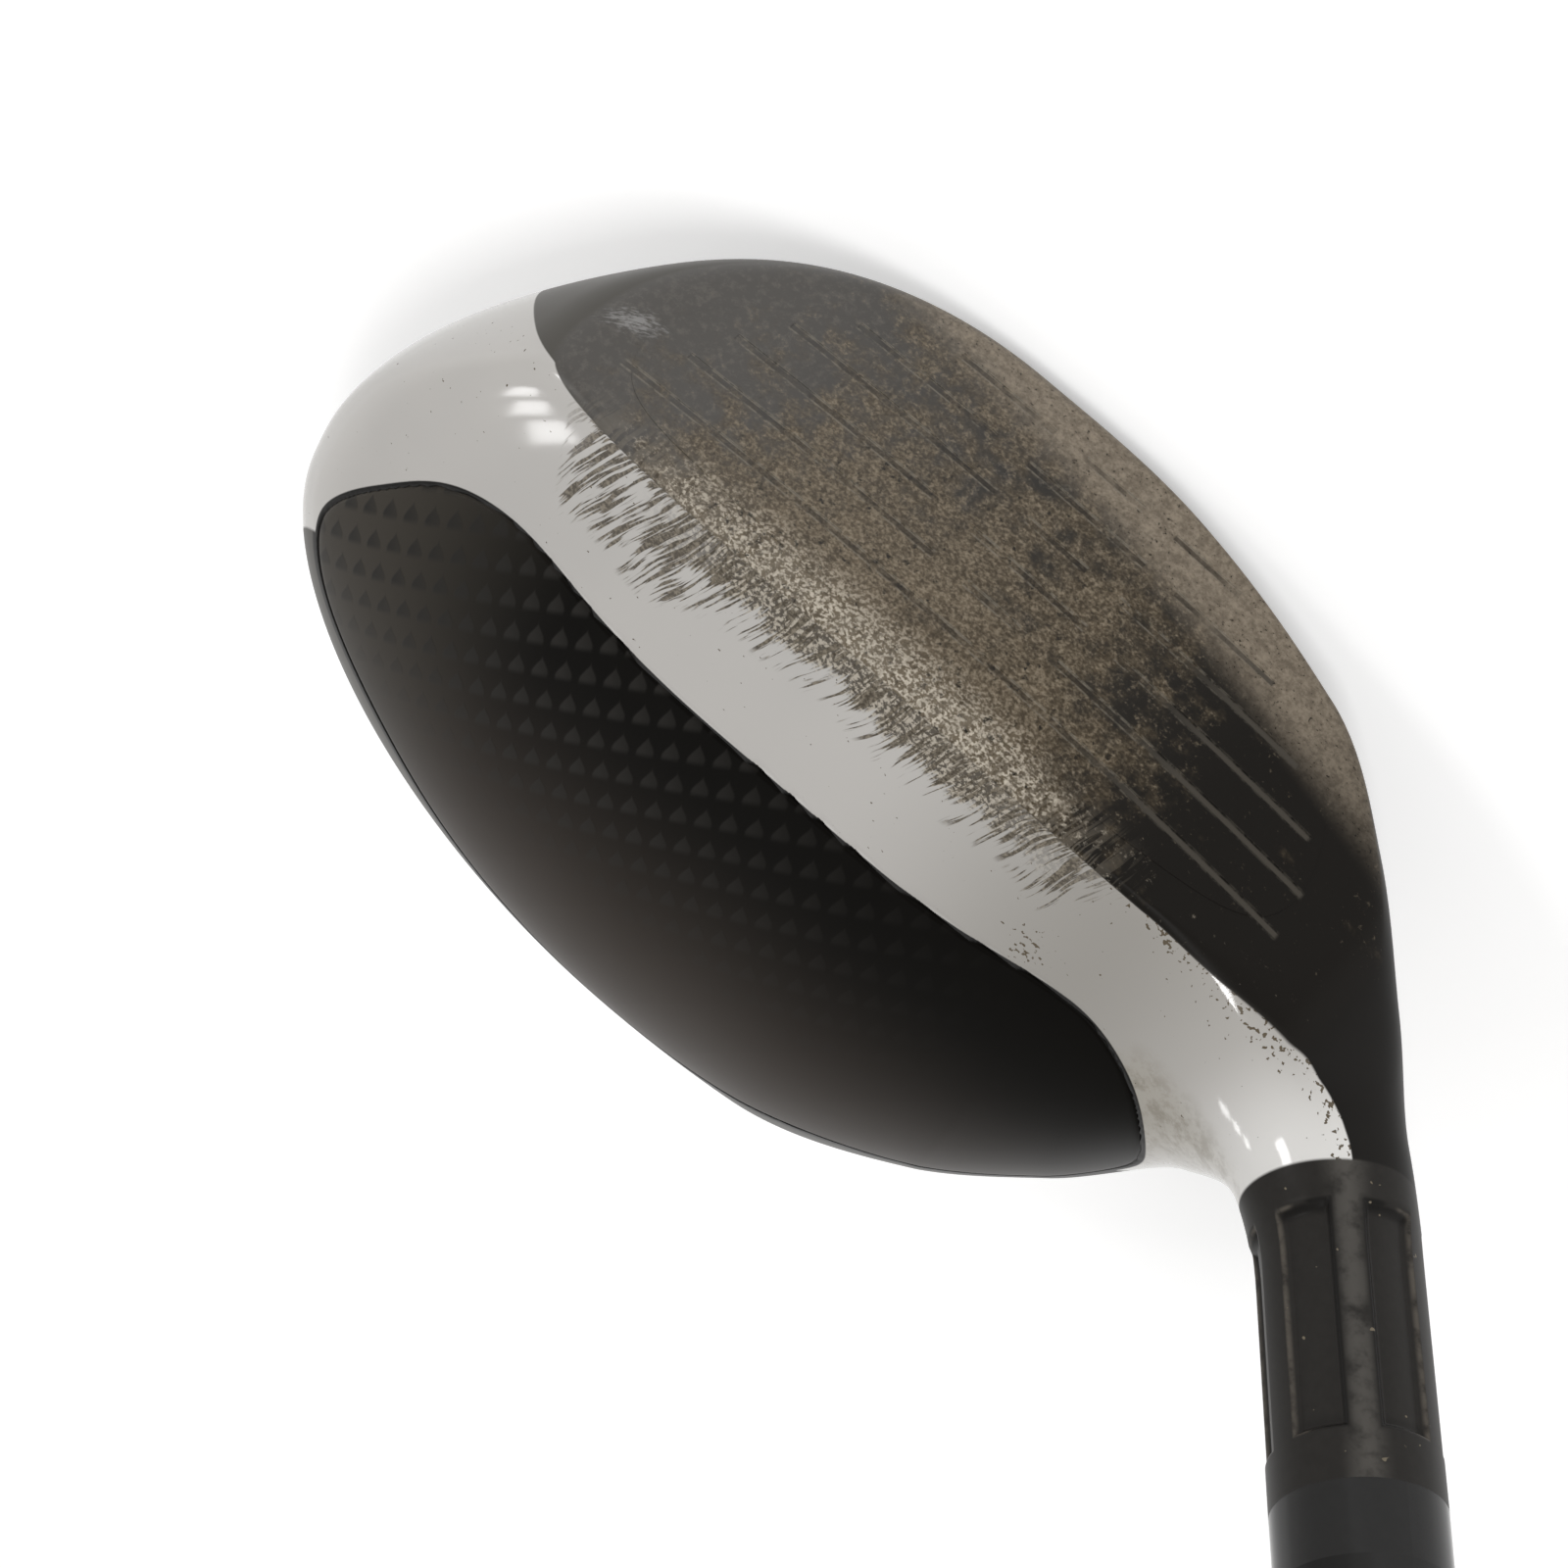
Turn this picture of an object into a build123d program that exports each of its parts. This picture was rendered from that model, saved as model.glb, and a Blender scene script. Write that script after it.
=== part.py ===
from build123d import *
import math
import os

# Left-handed fairway wood: cast steel head with a glued carbon crown, a welded face plate and
# a slotted sole, a fluted hosel glued to the shaft, ferrule, graphite shaft and rubber grip.
#
# The club is modelled in its address position: X runs from heel to toe, -Y is the side of the
# face, +Z is up, the ground is Z = 0 and the shaft axis meets the ground at X = Y = Z = 0.
# On export everything moves so that the origin is the point where the hands hold the grip.
# Sizes are in millimetres and degrees.

# ---------------------------------------------------------------- whole club
CLUB_LENGTH = 1092.0  # along the shaft axis, from the ground to the end of the grip
LIE = 57.2  # shaft axis above the ground
HOLD_FROM_END = 110.0  # middle of the hands, from the end of the grip

# ---------------------------------------------------------------- head form
WIDEST_X = 40.0  # the widest section, beyond it the toe rounds off
TOE_X = 88.5  # the furthest point of the toe
TOE_Y = 23.0
TOE_Z = 25.0
PIVOT_X = 4.0  # heel of this line the section planes turn up into the neck
PIVOT_Z = 62.0
NECK_RUN = 45.0  # station length per radian of turn
HOSEL_RADIUS = 6.75
HOSEL_END = 70.2  # along the shaft axis from the ground
FULL_TOP = 0.26  # how much fuller than an ellipse a section is in front, above and below
FULL_BOTTOM = 0.0
LEAN_TOP = -0.45  # how much thinner than an ellipse it is at the rear
LEAN_BOTTOM = -0.35
TOE_ANGLES = (88.0, 79.0, 68.0, 56.0, 43.0, 29.0, 14.0)  # sections that round off the toe
NECK_SECTIONS = 6
SECTION_POINTS = 28

# Middle of the section and its reach to the rear, front, top and bottom. The first three rows
# are stations toe side of the pivot line, with the middle's height above the ground; the
# others are fractions of the turn into the neck, with the middle's height above a straight
# blend from the body to the shaft axis.
BODY_ROWS = [
    # station, mid Y, mid Z, rear, front, top, bottom
    (WIDEST_X - PIVOT_X, -3.4, 19.5, 65.3, 26.7, 15.9, 19.7),
    (18.0, 0.0, 16.5, 62.6, 34.1, 19.1, 15.3),
    (0.0, 0.4, 17.7, 50.2, 25.3, 17.5, 13.1),
]
NECK_ROWS = [
    # turn, mid Y, rise, rear, front, top, bottom
    (0.25, 0.8, 0.7, 33.9, 18.1, 14.6, 10.1),
    (0.50, -0.2, 1.7, 15.3, 11.1, 10.3, 8.25),
    (0.75, -0.3, 1.2, *[HOSEL_RADIUS + swell for swell in (0.15, 0.95, 1.15, -0.45)]),
]


def toe_side(share):
    """X of a place beyond the widest section, as a share of the run from there to the toe."""
    return WIDEST_X + (TOE_X - WIDEST_X) * share


# ---------------------------------------------------------------- face
LOFT = 15.0
FACE_X = 38.0  # middle of the face
FACE_Y = -16.7
FACE_Z = 18.0
FACE_RADIUS = 425.0  # bulge and roll
FACE_THICKNESS = 2.2
FACE_CUT_TURN = 0.62  # the face runs out into the neck at this part of the turn
FACE_PLATE_OUTLINE = [
    (-4.0, 27.5), (4.0, 31.0), (20.0, 32.6), (40.0, 32.6), (toe_side(0.33), 31.6),
    (toe_side(0.505), 28.5), (toe_side(0.526), 23.5), (toe_side(0.412), 15.5),
    (toe_side(0.206), 8.5), (36.0, 4.6), (22.0, 4.6), (8.0, 9.0), (-2.0, 17.0),
]

SCORE_CENTRE_X = 29.0
SCORE_TOP_Z = 28.4
SCORE_PITCH = 4.2
SCORE_COUNT = 6
SCORE_WIDTH = 0.7
SCORE_DEPTH = 0.35
SCORE_END_HEEL = (-5.5, -5.0, -2.5, 2.0, 8.0, 15.0)  # X of each line's heel end
SCORE_END_TOE = [toe_side(share) for share in (0.526, 0.454, 0.423, 0.371, 0.289, 0.124)]
SCORE_DASH = (13.0, 6.6)  # length of the middle dash, on every other line
SCORE_GAP = 3.4

# ---------------------------------------------------------------- body shell and crown
PANEL_THICKNESS = 1.0
PANEL_GAP = 0.15
BOND_THICKNESS = 0.2
LEDGE_BITE = 0.2  # the top of the ledge lies this deep in the wall, which makes them one
LEDGE_THICKNESS = 1.0
LEDGE_WIDTH = 5.0
LEDGE_ROOT = 1.5
WALL = PANEL_THICKNESS + BOND_THICKNESS + LEDGE_BITE
CAVITY_NECK = 1  # neck sections that the cavity reaches into, beyond them the neck is solid
PANEL_NECK = 4  # neck sections that the crown panel's inner surfaces reach into
CROWN_FLOOR_RISE = 2.0  # the crown is cut from this far above the form's widest level
PANEL_OUTLINE = [
    (1.0, 3.2), (14.0, 4.5), (28.0, 5.4), (toe_side(0.04), 5.4), (toe_side(0.33), 5.0),
    (toe_side(0.557), 4.6), (toe_side(0.711), 9.0), (toe_side(0.856), 18.0),
    (toe_side(0.856), 28.0), (toe_side(0.691), 40.0), (toe_side(0.412), 50.0),
    (toe_side(0.04), 56.0), (24.0, 54.0), (8.0, 45.5), (-3.5, 33.0), (-9.5, 20.0), (-7.5, 8.8),
]
PAD_HEIGHT = 4.5  # cast-in sole mass
PAD_X = (14.0, 62.0)
PAD_Y = (4.0, 26.0)

# ---------------------------------------------------------------- sole slot
SLOT_CENTRE = (34.0, -5.5)
SLOT_LENGTH = 52.0
SLOT_WIDTH = 3.6
SLOT_RECESS = 0.4
INSERT_LIP = 1.4  # the insert's flange inside the sole, its width and its thickness
INSERT_FLANGE = 1.2

# ---------------------------------------------------------------- hosel and ferrule
TIP_RADIUS = 4.255  # shaft tip, .335 inch
TIP_BOND = 0.075  # thickness of the epoxy round the tip
BORE_RADIUS = TIP_RADIUS + TIP_BOND
BORE_BOTTOM = 36.0  # along the shaft axis from the ground
FLUTE_COUNT = 6
FLUTE_WIDTH = 4.3
FLUTE_DEPTH = 0.6
FLUTE_TURN = -36.0  # of the first flute round the hosel
FLUTE_START = 46.4
FLUTE_LENGTH = 19.4
FERRULE_LENGTH = 26.0
FERRULE_BAND = 6.0  # nearly straight part next to the hosel
FERRULE_BAND_STEP = 0.05  # how much the band narrows
FERRULE_TOP_WALL = 0.495
FERRULE_EDGE = 0.4  # bevel round the top end, its width and its height
FERRULE_EDGE_HEIGHT = 0.6
FERRULE_CLEARANCE = 0.03

# ---------------------------------------------------------------- shaft and grip
TIP_STRAIGHT = 90.0
BUTT_RADIUS = 7.62
SHAFT_WALL = 1.1
TIP_WALL = 1.9
WEIGHT_HEAD = 1.6
WEIGHT_LENGTH = 22.0
WEIGHT_CLEARANCE = 0.6  # from the head of the weight to the bottom of the bore
TAPE_THICKNESS = 0.25
GRIP_LENGTH = 268.0
GRIP_MOUTH_WALL = 1.6
GRIP_MOUTH_STEP = 0.5  # the mouth's lip, its width and its length
GRIP_MOUTH_RUN = 2.0
GRIP_END_WALL = 5.33
GRIP_END_SWELL = 1.2  # how much the grip swells over its last stretch
GRIP_END_RUN = 25.0
CAP_THICKNESS = 4.0
CAP_RIM = 1.0  # straight part of the cap's edge
CAP_BEVEL = 2.0
VENT_RADIUS = 1.6

# ---------------------------------------------------------------- cutting blocks
CUTTER = 400.0  # side of the blocks that cut the head, well beyond it on every side
OPENING_SPARE = 1.0  # how far an opening's cutter runs past the wall that it opens

# ---------------------------------------------------------------- shaft axis
TURN = math.radians(LIE)
AXIS = Vector(-math.cos(TURN), 0, math.sin(TURN))
AXIS_DROP = PIVOT_X * math.sin(TURN) + PIVOT_Z * math.cos(TURN)
AXIS_START = PIVOT_Z * math.sin(TURN) - PIVOT_X * math.cos(TURN)


def on_axis(distance):
    """The plane across the shaft axis at a distance from the ground."""
    return Plane(origin=AXIS * distance, x_dir=(0, -1, 0), z_dir=AXIS)


def turned(profile):
    """A solid of revolution round the shaft axis. Profile points are (radius, distance)."""
    outline = Polyline(*[(radius, 0, distance) for radius, distance in profile], close=True)
    solid = revolve(make_face(outline), Axis.Z)
    return on_axis(0) * solid


# ---------------------------------------------------------------- smooth tables
def smooth_curve(places, values):
    """A monotone cubic curve through the points, as a function."""
    steps = [b - a for a, b in zip(places, places[1:])]
    slopes = [(b - a) / h for a, b, h in zip(values, values[1:], steps)]

    def end_slope(h0, h1, m0, m1):
        slope = ((2 * h0 + h1) * m0 - h0 * m1) / (h0 + h1)
        if slope * m0 <= 0:
            return 0.0
        if m0 * m1 < 0 and abs(slope) > 3 * abs(m0):
            return 3 * m0
        return slope

    tangents = [end_slope(steps[0], steps[1], slopes[0], slopes[1])]
    for h0, h1, m0, m1 in zip(steps, steps[1:], slopes, slopes[1:]):
        if m0 * m1 <= 0:
            tangents.append(0.0)
        else:
            w0 = 2 * h1 + h0
            w1 = h1 + 2 * h0
            tangents.append((w0 + w1) / (w0 / m0 + w1 / m1))
    tangents.append(end_slope(steps[-1], steps[-2], slopes[-1], slopes[-2]))

    def value(place):
        place = min(max(place, places[0]), places[-1])
        i = max(k for k in range(len(steps)) if places[k] <= place)
        t = (place - places[i]) / steps[i]
        h00 = (1 + 2 * t) * (1 - t) ** 2
        h10 = t * (1 - t) ** 2
        h01 = t * t * (3 - 2 * t)
        h11 = t * t * (t - 1)
        return (
            h00 * values[i]
            + h10 * steps[i] * tangents[i]
            + h01 * values[i + 1]
            + h11 * steps[i] * tangents[i + 1]
        )

    return value


def form_rows():
    """All rows of the form as (station, mid Y, mid height from the pivot, reaches)."""
    rows = []
    for station, mid_y, mid_z, *reaches in BODY_ROWS:
        rows.append((PIVOT_X + station, mid_y, mid_z - PIVOT_Z, *reaches))
    heel_drop = rows[-1][2]
    for turn, mid_y, rise, *reaches in NECK_ROWS:
        blend = heel_drop + (-AXIS_DROP - heel_drop) * turn
        rows.append((PIVOT_X - NECK_RUN * TURN * turn, mid_y, blend + rise, *reaches))
    for extra in (0.0, 8.0, 16.0):
        station = PIVOT_X - NECK_RUN * TURN - extra
        rows.append((station, 0.0, -AXIS_DROP, *[HOSEL_RADIUS] * 4))
    return sorted(rows)


FORM = form_rows()
FORM_CURVES = [smooth_curve([r[0] for r in FORM], [r[k] for r in FORM]) for k in range(1, 7)]
NECK_END = PIVOT_X - NECK_RUN * TURN
HOSEL_STATION = NECK_END - (HOSEL_END - AXIS_START)


# ---------------------------------------------------------------- head form
def section_sizes(station, inset):
    """Middle and reaches of the section at a station, with the skin moved in by inset."""
    mid_y, mid_h, rear, front, top, bottom = [c(min(station, WIDEST_X)) for c in FORM_CURVES]
    rear -= inset
    front -= inset
    top -= inset
    bottom -= inset
    if station > WIDEST_X:
        part = (station - WIDEST_X) / (TOE_X - inset - WIDEST_X)
        close = math.sqrt(max(1 - part * part, 0))
        toe_h = TOE_Z - PIVOT_Z
        rear_y = TOE_Y + (mid_y + rear - TOE_Y) * close * TOE_REAR(part)
        front_y = TOE_Y - (TOE_Y - mid_y + front) * close * TOE_FRONT(part)
        top_h = toe_h + (mid_h + top - toe_h) * close * TOE_TOP(part)
        bottom_h = toe_h - (toe_h - mid_h + bottom) * close * TOE_BOTTOM(part)
        mid_y += (TOE_Y - mid_y) * part**3
        mid_h += (toe_h - mid_h) * part**2
        rear = rear_y - mid_y
        front = mid_y - front_y
        top = top_h - mid_h
        bottom = mid_h - bottom_h
    return mid_y, mid_h, rear, front, top, bottom


def fullness(at_quarter, at_end):
    """Factor that fills out the rounding of the toe compared with an ellipse."""
    return lambda part: 1 + at_quarter * part**2 + at_end * part**6


TOE_REAR = fullness(-0.1, -0.03)
TOE_FRONT = fullness(-0.3, 0.15)
TOE_TOP = fullness(0.15, -0.13)
TOE_BOTTOM = fullness(-0.35, -0.07)


def blend(low, high, place):
    """From low at -1 to high at +1."""
    return (low + high) / 2 + (high - low) / 2 * place


def section_points(station, inset):
    mid_y, mid_h, rear, front, top, bottom = section_sizes(station, inset)
    turn = min(max((PIVOT_X - station) / NECK_RUN, 0), TURN)
    along = max(NECK_END - station, 0)
    base_x = max(station, PIVOT_X)
    body = min(max((station - PIVOT_X + 0.8 * NECK_RUN * TURN) / (0.8 * NECK_RUN * TURN), 0), 1)
    points = []
    for i in range(SECTION_POINTS):
        c = math.cos(2 * math.pi * i / SECTION_POINTS)
        s = math.sin(2 * math.pi * i / SECTION_POINTS)
        full = body * blend(FULL_BOTTOM, FULL_TOP, s)
        lean = body * blend(LEAN_BOTTOM, LEAN_TOP, s)
        reach_y = blend(front, rear, c * (1.5 - 0.5 * c * c))
        reach_h = blend(bottom, top, s * (1.5 - 0.5 * s * s))
        y = mid_y + reach_y * c * (1 + full * s * s)
        h = mid_h + reach_h * s * (1 + blend(full, lean, c) * c * c)
        x = base_x + h * math.sin(turn) - along * math.cos(TURN)
        z = PIVOT_Z + h * math.cos(turn) + along * math.sin(TURN)
        points.append((x, y, z))
    return points


def head_form(inset=0.0, neck=None):
    """The smooth form from the toe on, before the face is cut.

    It runs to the end of the hosel, or ends flat after that many sections of the neck."""
    toe_run = TOE_X - inset - WIDEST_X
    stations = [WIDEST_X + toe_run * math.sin(math.radians(a)) for a in TOE_ANGLES]
    stations += [WIDEST_X - (WIDEST_X - PIVOT_X) * k / 3 for k in range(3)]
    last = NECK_SECTIONS if neck is None else neck
    stations += [PIVOT_X - NECK_RUN * TURN * k / NECK_SECTIONS for k in range(last + 1)]
    if neck is None:
        stations += [NECK_END + (HOSEL_STATION - NECK_END) * k / 3 for k in (1, 2, 3)]
    rows = [section_points(station, inset) for station in stations]
    spacing = [i / SECTION_POINTS for i in range(SECTION_POINTS + 1)]
    sections = [Edge.make_spline(row, periodic=True, parameters=spacing) for row in rows]
    quarter = SECTION_POINTS // 4
    lengthwise = [Edge.make_spline([row[quarter * k] for row in rows]) for k in (0, 1, 2, 3, 0)]
    side = Face.make_gordon_surface(sections, lengthwise, tolerance=0.001)
    ends = [Face(Wire([edge])) for edge in side.edges() if edge.is_closed]
    return Solid(Shell([side, *ends]))


# ---------------------------------------------------------------- plan and face outlines
def shifted(points, amount):
    """A closed outline moved outwards by amount, point by point along its own normal."""
    result = []
    for k, (u, v) in enumerate(points):
        u0, v0 = points[k - 1]
        u1, v1 = points[(k + 1) % len(points)]
        run = math.hypot(u1 - u0, v1 - v0)
        result.append((u + amount * (v1 - v0) / run, v - amount * (u1 - u0) / run))
    return result


def crown_prism(amount):
    """The upright prism over the panel outline, from below its rim to above the crown."""
    floor = BODY_ROWS[0][2] + CROWN_FLOOR_RISE
    points = [(x, y, floor) for x, y in shifted(PANEL_OUTLINE, amount)]
    return extrude(make_face(Spline(*points, periodic=True)), CUTTER / 2, dir=(0, 0, 1))


def face_ball(depth):
    """The big ball whose front is the face, or a surface at a depth behind it."""
    tilt = math.radians(LOFT)
    middle = Vector(FACE_X, FACE_Y, FACE_Z) + Vector(0, math.cos(tilt), -math.sin(tilt)) * FACE_RADIUS
    return Pos(*middle) * Sphere(FACE_RADIUS - depth)


def front_of_face(depth):
    """All the space in front of the face, as far into the neck as the face runs."""
    turn = FACE_CUT_TURN * TURN
    limit = Plane(
        origin=(PIVOT_X, 0, PIVOT_Z),
        x_dir=(0, 1, 0),
        z_dir=(math.cos(turn), 0, -math.sin(turn)),
    )
    block = limit * Box(CUTTER, CUTTER, CUTTER, align=(Align.CENTER, Align.CENTER, Align.MIN))
    return block - face_ball(depth)


def face_prism(amount):
    """The prism over the face plate's outline, from well in front to behind the face."""
    points = [(x, TOE_Y - CUTTER / 2, z) for x, z in shifted(FACE_PLATE_OUTLINE[::-1], amount)]
    return extrude(make_face(Spline(*points, periodic=True)), CUTTER / 2, dir=(0, 1, 0))


def slot_prism(amount):
    """The upright prism over the sole slot, from the body's middle level down."""
    shape = SlotOverall(SLOT_LENGTH + 2 * amount, SLOT_WIDTH + 2 * amount)
    return extrude(Pos(*SLOT_CENTRE, BODY_ROWS[0][2]) * shape, CUTTER / 2, dir=(0, 0, -1))


# ---------------------------------------------------------------- the forms that pieces share
SKIN = head_form()
UNDER_PANEL = head_form(PANEL_THICKNESS, PANEL_NECK)
UNDER_BOND = head_form(PANEL_THICKNESS + BOND_THICKNESS, PANEL_NECK)
UNDER_LEDGE = head_form(PANEL_THICKNESS + BOND_THICKNESS + LEDGE_THICKNESS, PANEL_NECK)
UNDER_WALL = head_form(WALL, CAVITY_NECK)


def make_head_body():
    body = SKIN - front_of_face(0)
    cavity = UNDER_WALL - front_of_face(FACE_THICKNESS)
    pad = Pos(PAD_X[0], PAD_Y[0], 0) * Box(
        PAD_X[1] - PAD_X[0], PAD_Y[1] - PAD_Y[0], PAD_HEIGHT, align=Align.MIN
    )
    body -= cavity - pad
    # crown opening with its ledge
    body -= crown_prism(PANEL_GAP)
    ledge = (UNDER_BOND & crown_prism(LEDGE_ROOT)) - crown_prism(-LEDGE_WIDTH)
    body += ledge - UNDER_LEDGE
    # face opening
    body -= face_prism(0) & front_of_face(FACE_THICKNESS + OPENING_SPARE)
    # sole slot
    body -= slot_prism(0)
    # hosel bore and flutes
    drill = Cylinder(BORE_RADIUS, HOSEL_END, align=(Align.CENTER, Align.CENTER, Align.MIN))
    body -= on_axis(BORE_BOTTOM) * drill
    flute = Pos(0, HOSEL_RADIUS - FLUTE_DEPTH, 0) * Box(
        FLUTE_WIDTH, HOSEL_RADIUS, FLUTE_LENGTH, align=(Align.CENTER, Align.MIN, Align.MIN)
    )
    for k in range(FLUTE_COUNT):
        body -= on_axis(FLUTE_START) * Rot(0, 0, FLUTE_TURN + 360 * k / FLUTE_COUNT) * flute
    return body


def make_face_plate():
    plate = (SKIN & face_prism(0)) - front_of_face(0)
    plate &= front_of_face(FACE_THICKNESS)
    cutter_depth = front_of_face(SCORE_DEPTH)
    for k in range(SCORE_COUNT):
        dash = SCORE_DASH[k % 2] / 2
        z = SCORE_TOP_Z - SCORE_PITCH * k
        heel_end = SCORE_END_HEEL[k]
        toe_end = SCORE_END_TOE[k]
        if k == 0:
            spans = [(heel_end, toe_end)]
        else:
            spans = [
                (heel_end, SCORE_CENTRE_X - dash - SCORE_GAP),
                (SCORE_CENTRE_X - dash, SCORE_CENTRE_X + dash),
                (SCORE_CENTRE_X + dash + SCORE_GAP, toe_end),
            ]
        for start, end in spans:
            bar = Pos((start + end) / 2, 0, z) * Box(end - start, CUTTER, SCORE_WIDTH)
            plate -= bar & cutter_depth
    return plate


def make_crown_panel():
    return (SKIN & crown_prism(0)) - UNDER_PANEL


def make_crown_bond():
    ring = crown_prism(-PANEL_GAP) - crown_prism(-LEDGE_WIDTH)
    return (UNDER_PANEL & ring) - UNDER_BOND


def make_slot_insert():
    plug = (head_form(SLOT_RECESS) & slot_prism(0)) - UNDER_WALL
    flange = (UNDER_WALL & slot_prism(INSERT_LIP)) - head_form(WALL + INSERT_FLANGE)
    return plug + flange


def make_ferrule():
    start = HOSEL_END
    inner = TIP_RADIUS + FERRULE_CLEARANCE
    top = TIP_RADIUS + FERRULE_TOP_WALL
    return turned([
        (inner, start),
        (HOSEL_RADIUS, start),
        (HOSEL_RADIUS - FERRULE_BAND_STEP, start + FERRULE_BAND),
        (top, start + FERRULE_LENGTH - FERRULE_EDGE_HEIGHT),
        (top - FERRULE_EDGE, start + FERRULE_LENGTH),
        (inner, start + FERRULE_LENGTH),
    ])


SHAFT_START = BORE_BOTTOM + WEIGHT_CLEARANCE + WEIGHT_HEAD
SHAFT_END = CLUB_LENGTH - CAP_THICKNESS


def shaft_radius(distance):
    """Outer radius of the shaft at a distance along its axis."""
    part = (distance - SHAFT_START - TIP_STRAIGHT) / (SHAFT_END - SHAFT_START - TIP_STRAIGHT)
    return TIP_RADIUS + (BUTT_RADIUS - TIP_RADIUS) * max(part, 0)


def make_shaft():
    bend = SHAFT_START + TIP_STRAIGHT
    return turned([
        (TIP_RADIUS - TIP_WALL, SHAFT_START),
        (TIP_RADIUS, SHAFT_START),
        (TIP_RADIUS, bend),
        (BUTT_RADIUS, SHAFT_END),
        (BUTT_RADIUS - SHAFT_WALL, SHAFT_END),
        (TIP_RADIUS - TIP_WALL, bend),
    ])


def make_shaft_bond():
    return turned([
        (TIP_RADIUS, SHAFT_START),
        (BORE_RADIUS, SHAFT_START),
        (BORE_RADIUS, HOSEL_END),
        (TIP_RADIUS, HOSEL_END),
    ])


def make_tip_weight():
    stem = TIP_RADIUS - TIP_WALL
    head = TIP_RADIUS
    return turned([
        (0, SHAFT_START - WEIGHT_HEAD),
        (head, SHAFT_START - WEIGHT_HEAD),
        (head, SHAFT_START),
        (stem, SHAFT_START),
        (stem, SHAFT_START + WEIGHT_LENGTH),
        (0, SHAFT_START + WEIGHT_LENGTH),
    ])


GRIP_START = CLUB_LENGTH - GRIP_LENGTH
GRIP_END_RADIUS = BUTT_RADIUS + TAPE_THICKNESS + GRIP_END_WALL


def make_grip_tape():
    r0 = shaft_radius(GRIP_START)
    r1 = shaft_radius(SHAFT_END)
    return turned([
        (r0, GRIP_START),
        (r0 + TAPE_THICKNESS, GRIP_START),
        (r1 + TAPE_THICKNESS, SHAFT_END),
        (r1, SHAFT_END),
    ])


def make_grip():
    r0 = shaft_radius(GRIP_START) + TAPE_THICKNESS
    r1 = shaft_radius(SHAFT_END) + TAPE_THICKNESS
    return turned([
        (r0, GRIP_START),
        (r0 + GRIP_MOUTH_WALL, GRIP_START),
        (r0 + GRIP_MOUTH_WALL + GRIP_MOUTH_STEP, GRIP_START + GRIP_MOUTH_RUN),
        (GRIP_END_RADIUS - GRIP_END_SWELL, SHAFT_END - GRIP_END_RUN),
        (GRIP_END_RADIUS, SHAFT_END),
        (r1, SHAFT_END),
    ])


def make_grip_cap():
    return turned([
        (VENT_RADIUS, SHAFT_END),
        (GRIP_END_RADIUS, SHAFT_END),
        (GRIP_END_RADIUS, SHAFT_END + CAP_RIM),
        (GRIP_END_RADIUS - CAP_BEVEL, CLUB_LENGTH),
        (VENT_RADIUS, CLUB_LENGTH),
    ])


# ---------------------------------------------------------------- export
NODES = {
    "head_body": make_head_body,
    "face_plate": make_face_plate,
    "crown_panel": make_crown_panel,
    "crown_bond": make_crown_bond,
    "slot_insert": make_slot_insert,
    "ferrule": make_ferrule,
    "shaft": make_shaft,
    "shaft_bond": make_shaft_bond,
    "tip_weight": make_tip_weight,
    "grip_tape": make_grip_tape,
    "grip": make_grip,
    "grip_cap": make_grip_cap,
}

os.makedirs("parts", exist_ok=True)
hold = AXIS * (CLUB_LENGTH - HOLD_FROM_END)
for name, make in NODES.items():
    piece = Pos(-hold.X, -hold.Y, -hold.Z) * make()
    export_step(piece, f"parts/{name}.step")
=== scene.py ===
import math

import bpy
import numpy as np
from mathutils import Matrix, Vector


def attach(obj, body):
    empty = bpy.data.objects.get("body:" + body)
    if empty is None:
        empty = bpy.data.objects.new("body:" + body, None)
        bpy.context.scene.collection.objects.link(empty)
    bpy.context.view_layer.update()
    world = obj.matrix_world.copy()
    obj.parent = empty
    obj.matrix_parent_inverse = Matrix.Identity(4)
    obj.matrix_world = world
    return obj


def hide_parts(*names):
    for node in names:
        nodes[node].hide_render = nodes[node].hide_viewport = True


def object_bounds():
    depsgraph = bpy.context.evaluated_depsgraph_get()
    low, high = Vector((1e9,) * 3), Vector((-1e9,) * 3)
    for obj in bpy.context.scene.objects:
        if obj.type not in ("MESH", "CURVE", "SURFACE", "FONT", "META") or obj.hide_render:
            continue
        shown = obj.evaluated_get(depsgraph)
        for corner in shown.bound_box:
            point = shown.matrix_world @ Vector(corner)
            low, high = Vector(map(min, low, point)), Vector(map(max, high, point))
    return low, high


# Looks for a left-handed fairway wood. The smooth visible skin of the head is made again here,
# finer than the CAD's and close to its sections, in millimetres in the head's own frame: X runs
# from heel to toe, -Y is the face's side, the ground is Z = 0 and the shaft axis meets the ground
# at the origin. place() moves such points to the row frame in metres.

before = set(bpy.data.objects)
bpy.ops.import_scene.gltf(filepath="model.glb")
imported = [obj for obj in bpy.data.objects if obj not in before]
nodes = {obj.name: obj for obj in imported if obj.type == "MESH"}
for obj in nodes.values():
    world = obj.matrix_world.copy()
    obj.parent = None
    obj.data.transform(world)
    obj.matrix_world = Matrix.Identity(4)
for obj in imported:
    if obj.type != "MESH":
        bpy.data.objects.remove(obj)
cad_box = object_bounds()

# ---------------------------------------------------------------- the head's form, in mm
CLUB_LENGTH = 1092.0
HOLD_FROM_END = 110.0
LIE = 57.2
TURN = math.radians(LIE)
AXIS = np.array([-math.cos(TURN), 0.0, math.sin(TURN)])
HOLD = AXIS * (CLUB_LENGTH - HOLD_FROM_END)

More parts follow.
